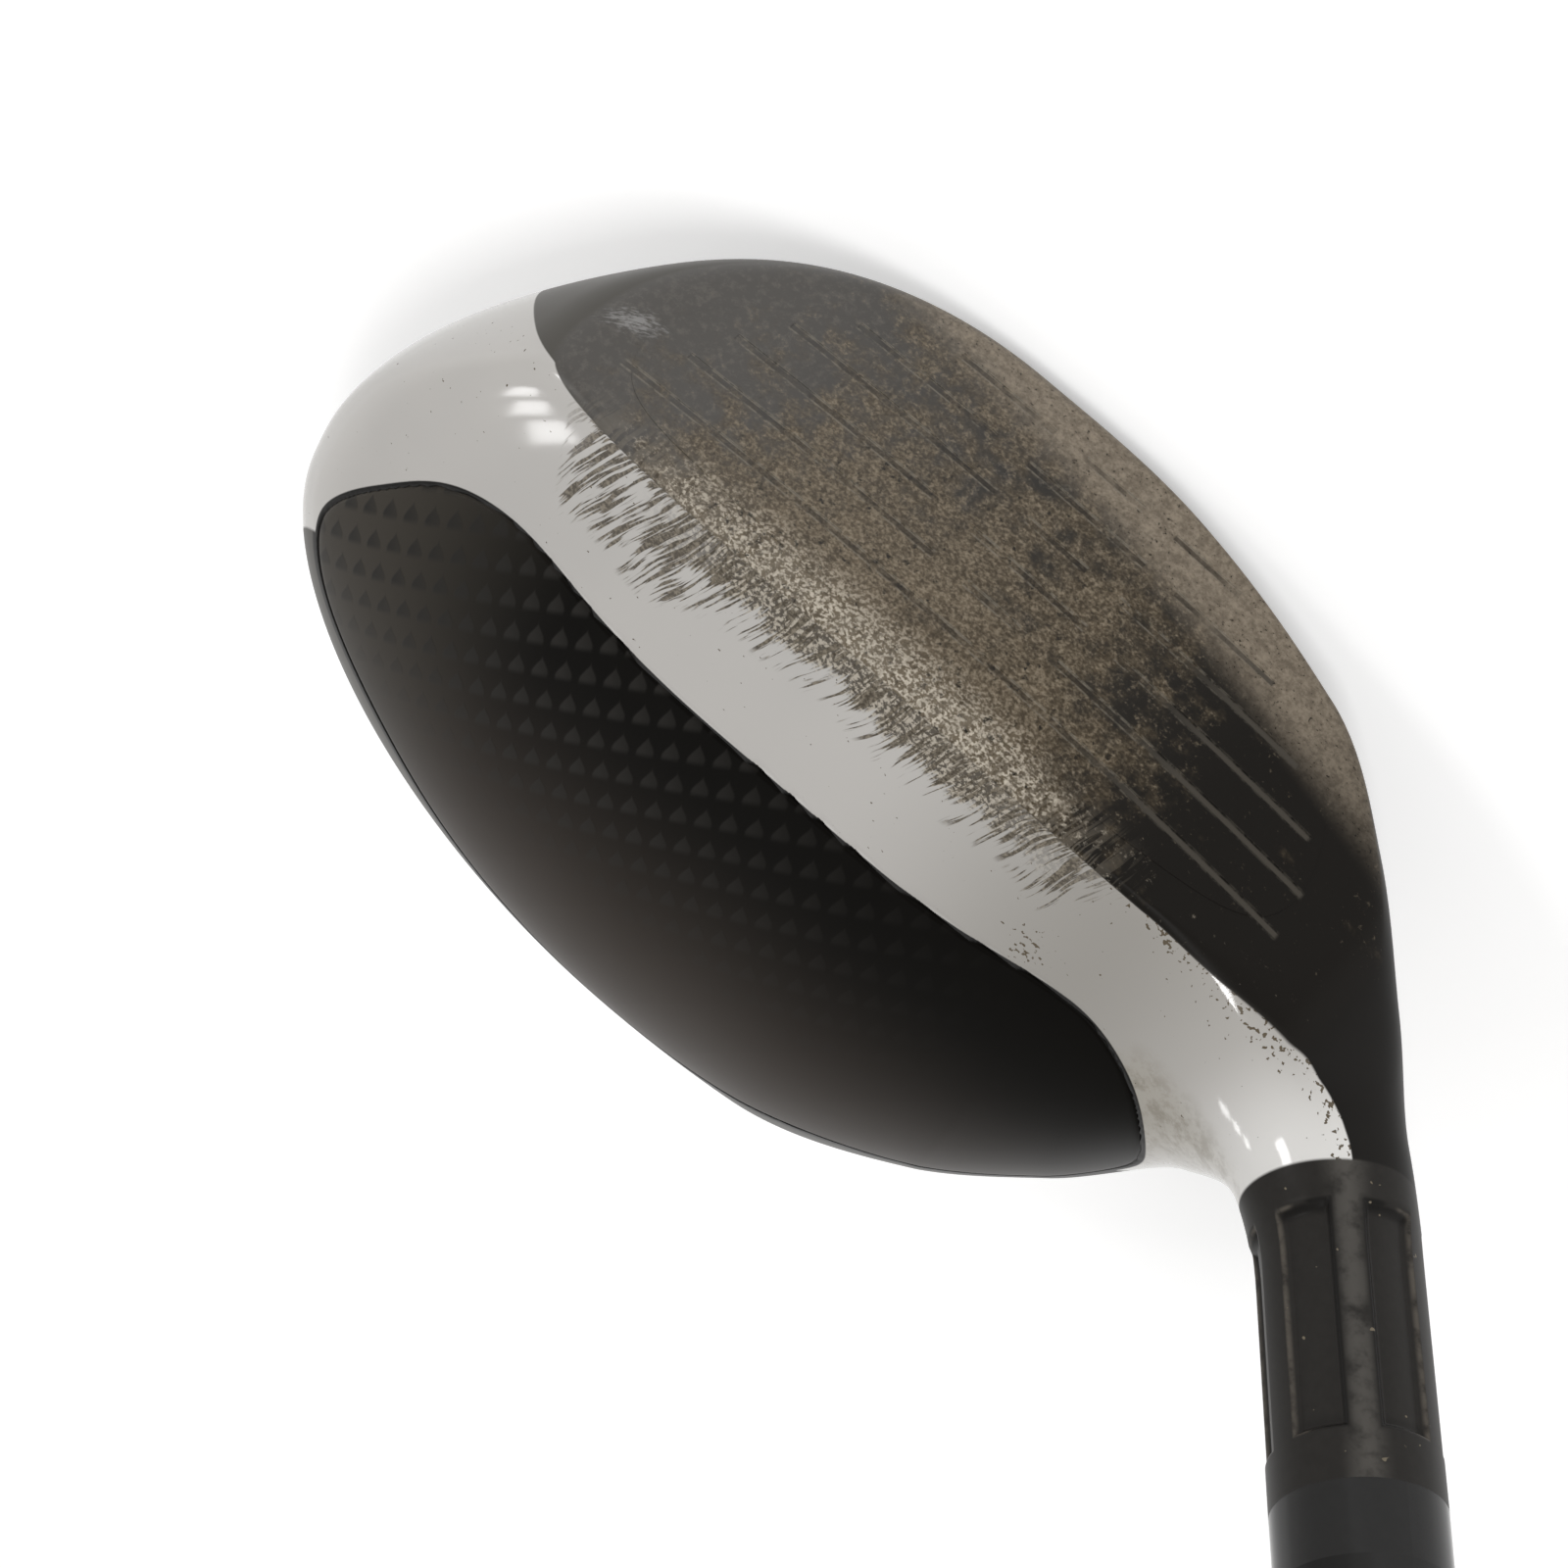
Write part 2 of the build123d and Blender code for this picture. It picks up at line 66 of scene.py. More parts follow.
TOE = (88.5, 23.0, 25.0)
PIVOT_X = 4.0
PIVOT_Z = 62.0
NECK_RUN = 45.0
HOSEL_RADIUS = 6.75
HOSEL_END = 70.2
FULL_TOP, FULL_BOTTOM = 0.26, 0.0  # how much fuller than an ellipse the sections' corners are
LEAN_TOP, LEAN_BOTTOM = -0.45, -0.35  # the same for their height at the rear
BODY_ROWS = [
    # station, mid Y, mid Z, rear, front, top, bottom
    (36.0, -3.4, 19.2, 65.4, 26.7, 16.2, 19.4),
    (18.0, -0.3, 17.5, 62.3, 33.8, 18.1, 16.3),
    (0.0, 0.4, 17.7, 50.2, 25.3, 17.5, 13.1),
]
NECK_ROWS = [
    # turn, mid Y, rise, rear, front, top, bottom
    (0.25, 0.8, 0.7, 33.9, 18.1, 14.6, 10.1),
    (0.50, -0.2, 1.7, 15.3, 11.1, 10.3, 8.25),
    (0.75, -0.3, 1.2, 6.9, 7.7, 7.9, 6.3),
]
TOE_CLOSE = {  # terms added to the quarter ellipse in which each reach closes to the toe
    "rear": (-0.1, -0.03),
    "front": (-0.3, 0.15),
    "top": (0.15, -0.13),
    "bottom": (-0.35, -0.07),
}
LOFT = math.radians(15.0)
FACE_RADIUS = 425.0
FACE_MIDDLE = np.array([38.0, -16.7, 18.0])
FACE_BALL = FACE_MIDDLE + np.array([0, math.cos(LOFT), -math.sin(LOFT)]) * FACE_RADIUS
FLUTE_START, FLUTE_LENGTH, FLUTE_WIDTH, FLUTE_DEPTH = 46.4, 19.4, 4.3, 0.6
FLUTE_COUNT = 6
FLUTE_TURN = math.radians(-6.0)
PANEL_OUTLINE = [
    (0.5, 3.1), (14.0, 4.9), (29.0, 6.1), (44.0, 6.4), (56.0, 5.3), (65.5, 4.2), (71.5, 6.4),
    (78.0, 13.5), (82.6, 21.0), (83.9, 25.5), (82.6, 31.3), (77.0, 38.6), (70.0, 44.8), (61.0, 52.0),
    (50.0, 57.3), (38.0, 59.4), (27.0, 58.0), (16.0, 51.8), (6.0, 45.4), (-2.6, 35.7), (-8.0, 25.0),
    (-9.9, 17.5), (-8.6, 10.3), (-4.6, 5.0),
]


def smooth_curve(places, values):
    """A monotone cubic curve through the points, level at both ends, as a function of an array."""
    x = np.array(places)
    v = np.array(values)
    h = np.diff(x)
    m = np.diff(v) / h
    d = np.zeros(len(x))
    for k in range(1, len(x) - 1):
        if m[k - 1] * m[k] > 0:
            w0 = 2 * h[k] + h[k - 1]
            w1 = h[k] + 2 * h[k - 1]
            d[k] = (w0 + w1) / (w0 / m[k - 1] + w1 / m[k])

    def value(p):
        p = np.clip(p, x[0], x[-1])
        i = np.clip(np.searchsorted(x, p, side="right") - 1, 0, len(h) - 1)
        t = (p - x[i]) / h[i]
        return (
            (1 + 2 * t) * (1 - t) ** 2 * v[i]
            + t * (1 - t) ** 2 * h[i] * d[i]
            + t * t * (3 - 2 * t) * v[i + 1]
            + t * t * (t - 1) * h[i] * d[i + 1]
        )

    return value


AXIS_DROP = PIVOT_X * math.sin(TURN) + PIVOT_Z * math.cos(TURN)
AXIS_START = PIVOT_Z * math.sin(TURN) - PIVOT_X * math.cos(TURN)


def form_rows():
    """Sections by station: middle Y, middle height, and reach to rear, front, top and bottom."""
    rows = [(PIVOT_X + r[0], r[1], r[2] - PIVOT_Z, *r[3:]) for r in BODY_ROWS]
    heel_drop = rows[-1][2]
    for turn, mid_y, rise, *reaches in NECK_ROWS:
        height = heel_drop + (-AXIS_DROP - heel_drop) * turn
        rows.append((PIVOT_X - NECK_RUN * TURN * turn, mid_y, height + rise, *reaches))
    for extra in (0.0, 8.0, 16.0):
        station = PIVOT_X - NECK_RUN * TURN - extra
        rows.append((station, 0.0, -AXIS_DROP, *[HOSEL_RADIUS] * 4))
    return sorted(rows)


FORM = form_rows()
FORM_CURVES = [smooth_curve([r[0] for r in FORM], [r[k] for r in FORM]) for k in range(1, 7)]
MID_STATION = FORM[-1][0]
NECK_END = PIVOT_X - NECK_RUN * TURN
HOSEL_STATION = NECK_END - (HOSEL_END - AXIS_START)


def mix(low, high, place):
    return (low + high) / 2 + (high - low) / 2 * place


def smooth_step(low, high, value):
    t = np.clip((value - low) / (high - low), 0, 1)
    return t * t * (3 - 2 * t)


def skin(station, angle):
    """Points of the smooth form, before the face is cut."""
    station, angle = np.broadcast_arrays(np.asarray(station, float), np.asarray(angle, float))
    mid_y, mid_h, rear, front, top, bottom = [c(np.minimum(station, MID_STATION)) for c in FORM_CURVES]
    q = np.clip((station - MID_STATION) / (TOE[0] - MID_STATION), 0, 1)
    close = np.sqrt(1 - q * q)
    full = {k: close * (1 + a * q**2 + b * q**6) for k, (a, b) in TOE_CLOSE.items()}
    toe_y, toe_h = TOE[1], TOE[2] - PIVOT_Z
    rear_y = toe_y + (mid_y + rear - toe_y) * full["rear"]
    front_y = toe_y - (toe_y - mid_y + front) * full["front"]
    top_h = toe_h + (mid_h + top - toe_h) * full["top"]
    bottom_h = toe_h - (toe_h - mid_h + bottom) * full["bottom"]
    past = q > 0
    y0 = np.where(past, mid_y + (toe_y - mid_y) * q**3, mid_y)
    h0 = np.where(past, mid_h + (toe_h - mid_h) * q**2, mid_h)
    rear = np.where(past, rear_y - y0, rear)
    front = np.where(past, y0 - front_y, front)
    top = np.where(past, top_h - h0, top)
    bottom = np.where(past, h0 - bottom_h, bottom)
    turn = np.clip((PIVOT_X - station) / NECK_RUN, 0, TURN)
    along = np.maximum(NECK_END - station, 0)
    base_x = np.maximum(station, PIVOT_X)
    fade = 0.8 * NECK_RUN * TURN
    body = np.clip((station - PIVOT_X + fade) / fade, 0, 1)
    c, s = np.cos(angle), np.sin(angle)
    fuller = body * mix(FULL_BOTTOM, FULL_TOP, s)
    leaner = body * mix(LEAN_BOTTOM, LEAN_TOP, s)
    y = y0 + mix(front, rear, c * (1.5 - 0.5 * c * c)) * c * (1 + fuller * s * s)
    h = h0 + mix(bottom, top, s * (1.5 - 0.5 * s * s)) * s * (1 + mix(fuller, leaner, c) * c * c)
    x = base_x + h * np.sin(turn) - along * math.cos(TURN)
    z = PIVOT_Z + h * np.cos(turn) + along * math.sin(TURN)
    return np.stack([x, y, z], -1)


def face_y(x, z):
    """The face's bulge and roll: a large ball, tilted by the loft."""
    dx, dz = x - FACE_BALL[0], z - FACE_BALL[2]
    return FACE_BALL[1] - np.sqrt(FACE_RADIUS**2 - dx * dx - dz * dz)


def axis_place(points):
    """Distance along the shaft axis, and angle and distance round it."""
    t = points @ AXIS
    off = points - t[..., None] * AXIS
    side = np.array([0.0, -1.0, 0.0])
    up = np.cross(AXIS, side)
    return t, np.arctan2(off @ up, off @ side), np.linalg.norm(off, axis=-1)


def place(points):
    """Head frame in mm to row frame in m."""
    return (np.asarray(points) - HOLD) / 1000.0


# ---------------------------------------------------------------- plan outline of the crown panel
def closed_curve(points, count):
    """A smooth closed curve through the points (periodic cubic, spaced by chord)."""
    p = np.array(points, float)
    n = len(p)
    h = np.linalg.norm(np.roll(p, -1, 0) - p, axis=1)
    a = np.zeros((n, n))
    b = np.zeros((n, 2))
    for i in range(n):
        h0, h1 = h[i - 1], h[i]
        a[i, i - 1] += h1
        a[i, i] += 2 * (h0 + h1)
        a[i, (i + 1) % n] += h0
        b[i] = 3 * (h1 * (p[i] - p[i - 1]) / h0 + h0 * (p[(i + 1) % n] - p[i]) / h1)
    m = np.linalg.solve(a, b)
    place_on = np.concatenate([[0], np.cumsum(h)])
    s = np.linspace(0, place_on[-1], count, endpoint=False)
    i = np.clip(np.searchsorted(place_on, s, side="right") - 1, 0, n - 1)
    t = ((s - place_on[i]) / h[i])[:, None]
    j = (i + 1) % n
    hi = h[i][:, None]
    return (
        (1 + 2 * t) * (1 - t) ** 2 * p[i]
        + t * (1 - t) ** 2 * hi * m[i]
        + t * t * (3 - 2 * t) * p[j]
        + t * t * (t - 1) * hi * m[j]
    )


PANEL_EDGE = closed_curve(PANEL_OUTLINE, 900)
BLOCK = 4000  # points taken at a time, to spare memory


def outline_distance(xy, edge):
    """Signed distance in plan to a closed outline, positive outside."""
    shape = xy.shape[:-1]
    flat = xy.reshape(-1, 2)
    result = np.empty(len(flat))
    nxt = np.roll(edge, -1, 0)
    run = nxt - edge
    length2 = (run**2).sum(1)
    for start in range(0, len(flat), BLOCK):
        p = flat[start:start + BLOCK, None, :]
        t = np.clip(((p - edge) * run).sum(-1) / length2, 0, 1)
        d = np.linalg.norm(p - (edge + t[..., None] * run), axis=-1).min(1)
        crosses = (edge[:, 1] > p[..., 1]) != (nxt[:, 1] > p[..., 1])
        rise = np.where(run[:, 1] == 0, 1e-9, run[:, 1])
        at_x = edge[:, 0] + (p[..., 1] - edge[:, 1]) * run[:, 0] / rise
        inside = (crosses & (p[..., 0] < at_x)).sum(1) % 2 == 1
        result[start:start + BLOCK] = np.where(inside, -d, d)
    return result.reshape(shape)


# ---------------------------------------------------------------- mesh helpers
def grid_faces(rows, cols):
    """Quads of a grid of points whose rows are closed rings."""
    i = np.arange(rows - 1)[:, None]
    j = np.arange(cols)[None, :]
    k = (j + 1) % cols
    quads = np.stack([i * cols + j, i * cols + k, (i + 1) * cols + k, (i + 1) * cols + j], -1)
    return quads.reshape(-1, 4)


def make_mesh(name, points, faces, layers=None, caps=()):
    mesh = bpy.data.meshes.new(name)
    all_faces = [tuple(int(v) for v in f) for f in faces] + [tuple(c) for c in caps]
    mesh.from_pydata([tuple(p) for p in place(points)], [], all_faces)
    for layer, values in (layers or {}).items():
        attribute = mesh.attributes.new(layer, "FLOAT", "POINT")
        attribute.data.foreach_set("value", np.asarray(values, np.float32).ravel())
    mesh.update()
    mesh.validate()
    obj = bpy.data.objects.new(name, mesh)
    bpy.context.scene.collection.objects.link(obj)
    for polygon in mesh.polygons:
        polygon.use_smooth = True
    return obj


# ---------------------------------------------------------------- the head's skin
RING = 440  # points round each section
CREASE_HALF = 3.0  # the rounded top line reaches this far to both sides
NECK_CLEAR = 9.0  # the face's cut moves this far forward along the neck, to clear it
PLATE_PROUD = 0.06  # the CAD's face plate stands this far in front of the skin
MM_PER_DEGREE = 0.15  # turns degrees round the neck into millimetres, nearly
SEAM_DEPTH = 1.2  # how far the skin sinks under the crown panel
SLOT_CENTRE = (34.0, -5.5)
SLOT_LENGTH, SLOT_WIDTH = 52.0, 3.6
SLOT_OPEN = 1.6  # how far the skin is raised inside the sole slot
SLOT_SNAP = 0.3  # points this close to the slot's border are moved onto it
FAR_AWAY = 40.0  # distance given to points that have no seam or flute near them
PANEL_HEEL_END = 8.0  # no seam is nearer than this to the neck's end
PANEL_GAP = 0.12  # between the seam and the panel's rim
PANEL_RIM = 0.5  # radius of the panel's rolled rim
RIM_STEPS = 6
INNER_STEPS = 90
APEX_DISTANCE = -30.0  # the panel layer's value in the middle, far inside the seam
PANEL_MIDDLE = np.array([36.0, 29.0])
# the white's front border down the neck: share of the neck's turn, and degrees round it
EDGE_PARTS = (0.50, 0.63, 0.71, 0.77, 0.83)
EDGE_ANGLES = (140.0, 151.9, 157.8, 160.1, 160.8)


def stations_list():
    """Stations from the toe's tip to the hosel's end, closer together at the toe."""
    q = np.sin(np.linspace(math.radians(89.6), 0, 110))
    toe = MID_STATION + (TOE[0] - MID_STATION) * q
    body = np.linspace(MID_STATION, PIVOT_X, 80)[1:]
    neck = np.linspace(PIVOT_X, NECK_END, 90)[1:]
    hosel = np.linspace(NECK_END, HOSEL_STATION, 150)[1:]
    return np.concatenate([toe, body, neck, hosel])


def cut_face(points, station):
    """Moves what stands in front of the face back to it, with a rounded crease."""
    turn_part = np.clip((PIVOT_X - station) / (NECK_RUN * TURN), 0, 2)
    away = NECK_CLEAR * smooth_step(0.5, 0.95, turn_part)
    limit = face_y(points[..., 0], points[..., 2]) - away
    gap = points[..., 1] - limit
    share = np.clip((gap + CREASE_HALF) / (2 * CREASE_HALF), 0, 1)
    rounded = limit + CREASE_HALF * share**2 + PLATE_PROUD * (1 - share)
    y = np.where((gap > CREASE_HALF) | (turn_part > 1.0), points[..., 1], rounded)
    moved = points.copy()
    moved[..., 1] = y
    return moved, gap


def white_edge(station, angle, gap):
    """How far inside the white paint a point lies: from the crease, then down the neck."""
    part = (PIVOT_X - station) / (NECK_RUN * TURN)
    turned = (np.degrees(angle) + 90) % 360 - 90
    front = (np.interp(part, EDGE_PARTS, EDGE_ANGLES) - turned) * MM_PER_DEGREE
    neck = np.minimum(front, (turned + 25) * MM_PER_DEGREE)
    body = np.where(part > 0.2, np.minimum(gap, (190 - turned) * MM_PER_DEGREE), gap)
    share = smooth_step(0.5, 0.62, part)
    return body * (1 - share) + neck * share


def flute_place(points):
    """Distance outside the nearest flute's border, and degrees from the ridge at the front."""
    t, angle, _ = axis_place(points)
    step = 2 * math.pi / FLUTE_COUNT
    local = (angle - FLUTE_TURN + step / 2) % step - step / 2
    across = np.abs(local) * HOSEL_RADIUS - FLUTE_WIDTH / 2
    lengthwise = np.abs(t - FLUTE_START - FLUTE_LENGTH / 2) - FLUTE_LENGTH / 2
    ridge = np.degrees(np.abs((angle - FLUTE_TURN - step / 2 + math.pi) % (2 * math.pi) - math.pi))
    return np.maximum(across, lengthwise), ridge


def cut_slot(points, under):
    """Opens the sole slot in the skin, so that the CAD's insert shows in it."""
    half = (SLOT_LENGTH - SLOT_WIDTH) / 2
    middle = np.clip(points[..., 0] - SLOT_CENTRE[0], -half, half)
    off_x = points[..., 0] - SLOT_CENTRE[0] - middle
    off_y = points[..., 1] - SLOT_CENTRE[1]
    reach = np.hypot(off_x, off_y)
    near = under & (np.abs(reach - SLOT_WIDTH / 2) < SLOT_SNAP)
    grow = SLOT_WIDTH / 2 / reach[near] - 1
    points[near, 0] += off_x[near] * grow
    points[near, 1] += off_y[near] * grow
    points[..., 2] += SLOT_OPEN * (under & (reach < SLOT_WIDTH / 2 - SLOT_SNAP))


def make_head():
    """The casting's skin, with the face cut, the flutes, the seam and the slot."""
    station = stations_list()
    angle = np.linspace(0, 2 * math.pi, RING, endpoint=False)
    s, a = np.meshgrid(station, angle, indexing="ij")
    form = skin(s, a)
    points, gap = cut_face(form, s)
    t, _, radius = axis_place(points)
    flute, ridge = flute_place(points)
    flute = np.where(s < PIVOT_X - 0.8 * NECK_RUN * TURN, flute, FAR_AWAY)
    depth = FLUTE_DEPTH * smooth_step(0.15, -0.45, flute)
    outward = points - t[..., None] * AXIS
    points = points - outward / radius[..., None] * depth[..., None]
    upper = np.sin(a)
    panel = outline_distance(points[..., :2], PANEL_EDGE)
    panel = np.where((upper > 0) & (s > NECK_END + PANEL_HEEL_END), panel, FAR_AWAY)
    points[..., 2] -= SEAM_DEPTH * smooth_step(-0.3, -0.9, panel)
    cut_slot(points, upper < 0)
    layers = {"crease": gap, "paint": white_edge(s, a, gap), "panel": panel, "axis_t": t}
    layers.update({"flute": flute, "ridge": ridge})
    rows, cols = s.shape
    return make_mesh(
        "head_skin",
        points.reshape(-1, 3),
        grid_faces(rows, cols)[:, ::-1],
        layers,
        caps=[list(range(cols))],
    )


SOLVE_ROUNDS = 25
STATION_STEP = 1e-3
ANGLE_STEP = 1e-4


def crown_solve(xy):
    """Points of the form's upper side over plan points, by Newton steps."""
    s = np.maximum(xy[..., 0], -18.0)
    c = np.clip((xy[..., 1] - 5) / 60, -0.9, 0.9)
    a = np.arccos(c)
    for _ in range(SOLVE_ROUNDS):
        p = skin(s, a)
        ps = skin(s + STATION_STEP, a)
        pa = skin(s, a + ANGLE_STEP)
        xs, ys = (ps - p)[..., 0] / STATION_STEP, (ps - p)[..., 1] / STATION_STEP
        xa, ya = (pa - p)[..., 0] / ANGLE_STEP, (pa - p)[..., 1] / ANGLE_STEP
        det = xs * ya - xa * ys
        det = np.where(np.abs(det) < 1e-6, 1e-6, det)
        ex, ey = xy[..., 0] - p[..., 0], xy[..., 1] - p[..., 1]
        ds = np.clip((ex * ya - xa * ey) / det, -4, 4)
        da = np.clip((xs * ey - ex * ys) / det, -0.2, 0.2)
        s = np.minimum(s + ds, TOE[0] - 1e-3)
        a = np.clip(a + da, 0.02, math.pi - 0.02)
    return skin(s, a)


def make_panel():
    """The crown panel: rings from the seam inwards, with a rolled rim."""
    edge = closed_curve(PANEL_OUTLINE, 700)
    inward = np.roll(edge, -1, 0) - np.roll(edge, 1, 0)
    inward = np.stack([-inward[:, 1], inward[:, 0]], 1)
    inward /= np.linalg.norm(inward, axis=1)[:, None]
    rings, drops = [], []
    for k in range(RIM_STEPS + 1):
        angle = math.pi / 2 * k / RIM_STEPS
        rings.append(edge + inward * (PANEL_GAP + PANEL_RIM * (1 - math.cos(angle))))
        drops.append(PANEL_RIM * 1.6 * (1 - math.sin(angle)))
    inner = edge + inward * (PANEL_GAP + PANEL_RIM)
    for k in range(1, INNER_STEPS):
        share = (1 - k / INNER_STEPS) ** 0.9
        rings.append(PANEL_MIDDLE + (inner - PANEL_MIDDLE) * share)
        drops.append(0.0)
    plan = np.array(rings)
    points = crown_solve(plan)
    points[..., 2] -= np.array(drops)[:, None]
    apex = crown_solve(PANEL_MIDDLE[None, :])
    rows, cols = plan.shape[:2]
    flat = np.concatenate([points.reshape(-1, 3), apex])
    faces = [tuple(f) for f in grid_faces(rows, cols)]
    last = (rows - 1) * cols
    faces += [(last + j, last + (j + 1) % cols, rows * cols) for j in range(cols)]
    d = np.concatenate([outline_distance(plan, PANEL_EDGE).ravel(), [APEX_DISTANCE]])
    return make_mesh("crown_skin", flat, faces, {"panel": d})


# ---------------------------------------------------------------- node material helper
class Nodes:
    """Short calls for building a node material."""

    def __init__(self, name):
        self.material = bpy.data.materials.new(name)
        self.material.use_nodes = True
        self.tree = self.material.node_tree
        self.tree.nodes.clear()
        self.output = self.tree.nodes.new("ShaderNodeOutputMaterial")
        self.shader = self.tree.nodes.new("ShaderNodeBsdfPrincipled")
        self.link(self.shader.outputs[0], self.output.inputs["Surface"])

    def link(self, source, target):
        self.tree.links.new(source, target)

    def put(self, socket, value):
        if hasattr(value, "is_output"):
            self.link(value, socket)
        else:
            socket.default_value = value

    def attribute(self, name):
        node = self.tree.nodes.new("ShaderNodeAttribute")
        node.attribute_name = name
        return node.outputs["Fac"]

    def head_place(self):
        """Position in the head's frame, in mm."""
        coordinates = self.tree.nodes.new("ShaderNodeTexCoord")
        node = self.tree.nodes.new("ShaderNodeVectorMath")
        node.operation = "MULTIPLY_ADD"
        self.link(coordinates.outputs["Object"], node.inputs[0])
        node.inputs[1].default_value = (1000, 1000, 1000)
        node.inputs[2].default_value = tuple(HOLD)
        return node.outputs[0]

    def split(self, vector):
        node = self.tree.nodes.new("ShaderNodeSeparateXYZ")
        self.link(vector, node.inputs[0])
        return node.outputs[0], node.outputs[1], node.outputs[2]

    def join(self, x, y, z):
        node = self.tree.nodes.new("ShaderNodeCombineXYZ")
        for socket, value in zip(node.inputs, (x, y, z)):
            self.put(socket, value)
        return node.outputs[0]

    def math(self, operation, a, b=0.0, c=0.0):
        node = self.tree.nodes.new("ShaderNodeMath")
        node.operation = operation
        for socket, value in zip(node.inputs, (a, b, c)):
            self.put(socket, value)
        return node.outputs[0]

    def ramp(self, value, low, high):
        """0 below low, 1 above high. low may be above high."""
        node = self.tree.nodes.new("ShaderNodeMapRange")
        node.interpolation_type = "SMOOTHSTEP"
        self.put(node.inputs["Value"], value)
        if low < high:
            node.inputs["From Min"].default_value = low
            node.inputs["From Max"].default_value = high
        else:
            node.inputs["From Min"].default_value = high
            node.inputs["From Max"].default_value = low
            node.inputs["To Min"].default_value = 1.0
            node.inputs["To Max"].default_value = 0.0
        return node.outputs["Result"]

    def noise(self, vector, scale, detail=2.0, rough=0.5):
        node = self.tree.nodes.new("ShaderNodeTexNoise")
        self.put(node.inputs["Vector"], vector)
        node.inputs["Scale"].default_value = scale
        node.inputs["Detail"].default_value = detail
        node.inputs["Roughness"].default_value = rough
        return node.outputs["Fac"]

    def scaled(self, vector, x, y, z):
        node = self.tree.nodes.new("ShaderNodeVectorMath")
        node.operation = "MULTIPLY"
        self.link(vector, node.inputs[0])
        node.inputs[1].default_value = (x, y, z)
        return node.outputs[0]

    def colour(self, factor, a, b):
        node = self.tree.nodes.new("ShaderNodeMix")
        node.data_type = "RGBA"
        self.put(node.inputs["Factor"], factor)
        for socket, value in ((node.inputs[6], a), (node.inputs[7], b)):
            if hasattr(value, "is_output"):
                self.link(value, socket)
            else:
                socket.default_value = (*value, 1.0)
        return node.outputs[2]

    def blend(self, factor, a, b):
        node = self.tree.nodes.new("ShaderNodeMix")
        self.put(node.inputs["Factor"], factor)
        self.put(node.inputs[2], a)
        self.put(node.inputs[3], b)
        return node.outputs[0]

    def bump(self, height, strength, distance):
        node = self.tree.nodes.new("ShaderNodeBump")
        node.inputs["Strength"].default_value = strength
        node.inputs["Distance"].default_value = distance
        self.link(height, node.inputs["Height"])
        return node.outputs[0]

    def finish(self, **sockets):
        for name, value in sockets.items():
            socket = self.shader.inputs[name.replace("_", " ")]
            if isinstance(value, tuple):
                value = (*value, 1.0)
            self.put(socket, value)
        return self.material


# ---------------------------------------------------------------- materials
WHITE = (0.525, 0.508, 0.485)
SCUFFED_FACE = (0.20, 0.175, 0.14)
CHIPPED_SPOT = (9.2, 0.9)  # X and Y of the worst chips in the white
RING_EDGE = 43.2  # along the shaft axis, where the white neck ends at the hosel's ring
CREASE_Z = 35.6  # height of the top line, where the scuffs cross it
PLATE_GAP = -5.0  # counts the whole face plate as lying on the face's side of the crease
SCORE_TOP, SCORE_PITCH = 28.4, 4.2
SCORE_HEEL = (-5.5, -5.0, -2.5, 2.0, 8.0, 15.0)
SCORE_TOE = (65.5, 62.0, 60.5, 58.0, 54.0, 46.0)
SCORE_MIDDLE, SCORE_GAP = 29.0, 3.4
SCORE_DASH = (13.0, 6.6)
WEAVE_ROW = (-2.12, -1.95)  # from one facet to the next in a row
WEAVE_SHIFT = (-1.73, 3.03)  # from one row to the next
WEAVE_OFFSET = (40.01, 40.43)  # whole cells that keep the lattice positive, and its shift
WEAVE_CELL = WEAVE_ROW[0] * WEAVE_SHIFT[1] - WEAVE_ROW[1] * WEAVE_SHIFT[0]
WEAVE_ALONG = (WEAVE_SHIFT[1] / WEAVE_CELL, -WEAVE_SHIFT[0] / WEAVE_CELL)
WEAVE_ACROSS = (-WEAVE_ROW[1] / WEAVE_CELL, WEAVE_ROW[0] / WEAVE_CELL)


def product(n, *values):
    """All the values multiplied together."""
    result = values[0]
    for value in values[1:]:
        result = n.math("MULTIPLY", result, value)
    return result


def score_masks(n, x, z):
    """Masks of the score lines and of the thin rims along them."""
    line_mask = rim_mask = None
    for k, (heel, toe) in enumerate(zip(SCORE_HEEL, SCORE_TOE)):
        off = n.math("ABSOLUTE", n.math("SUBTRACT", z, SCORE_TOP - SCORE_PITCH * k))
        span = n.math("MULTIPLY", n.ramp(x, heel - 0.2, heel + 0.2), n.ramp(x, toe + 0.2, toe - 0.2))
        if k:
            dash = SCORE_DASH[k % 2] / 2
            from_middle = n.math("ABSOLUTE", n.math("SUBTRACT", x, SCORE_MIDDLE))
            gap = n.math("ABSOLUTE", n.math("SUBTRACT", from_middle, dash + SCORE_GAP / 2))
            span = n.math("MULTIPLY", span, n.ramp(gap, SCORE_GAP / 2 - 0.1, SCORE_GAP / 2 + 0.1))
        line = n.math("MULTIPLY", span, n.ramp(off, 0.30, 0.16))
        rim = product(n, span, n.ramp(off, 0.18, 0.28), n.ramp(off, 0.50, 0.34))
        line_mask = line if line_mask is None else n.math("MAXIMUM", line_mask, line)
        rim_mask = rim if rim_mask is None else n.math("MAXIMUM", rim_mask, rim)
    return line_mask, rim_mask


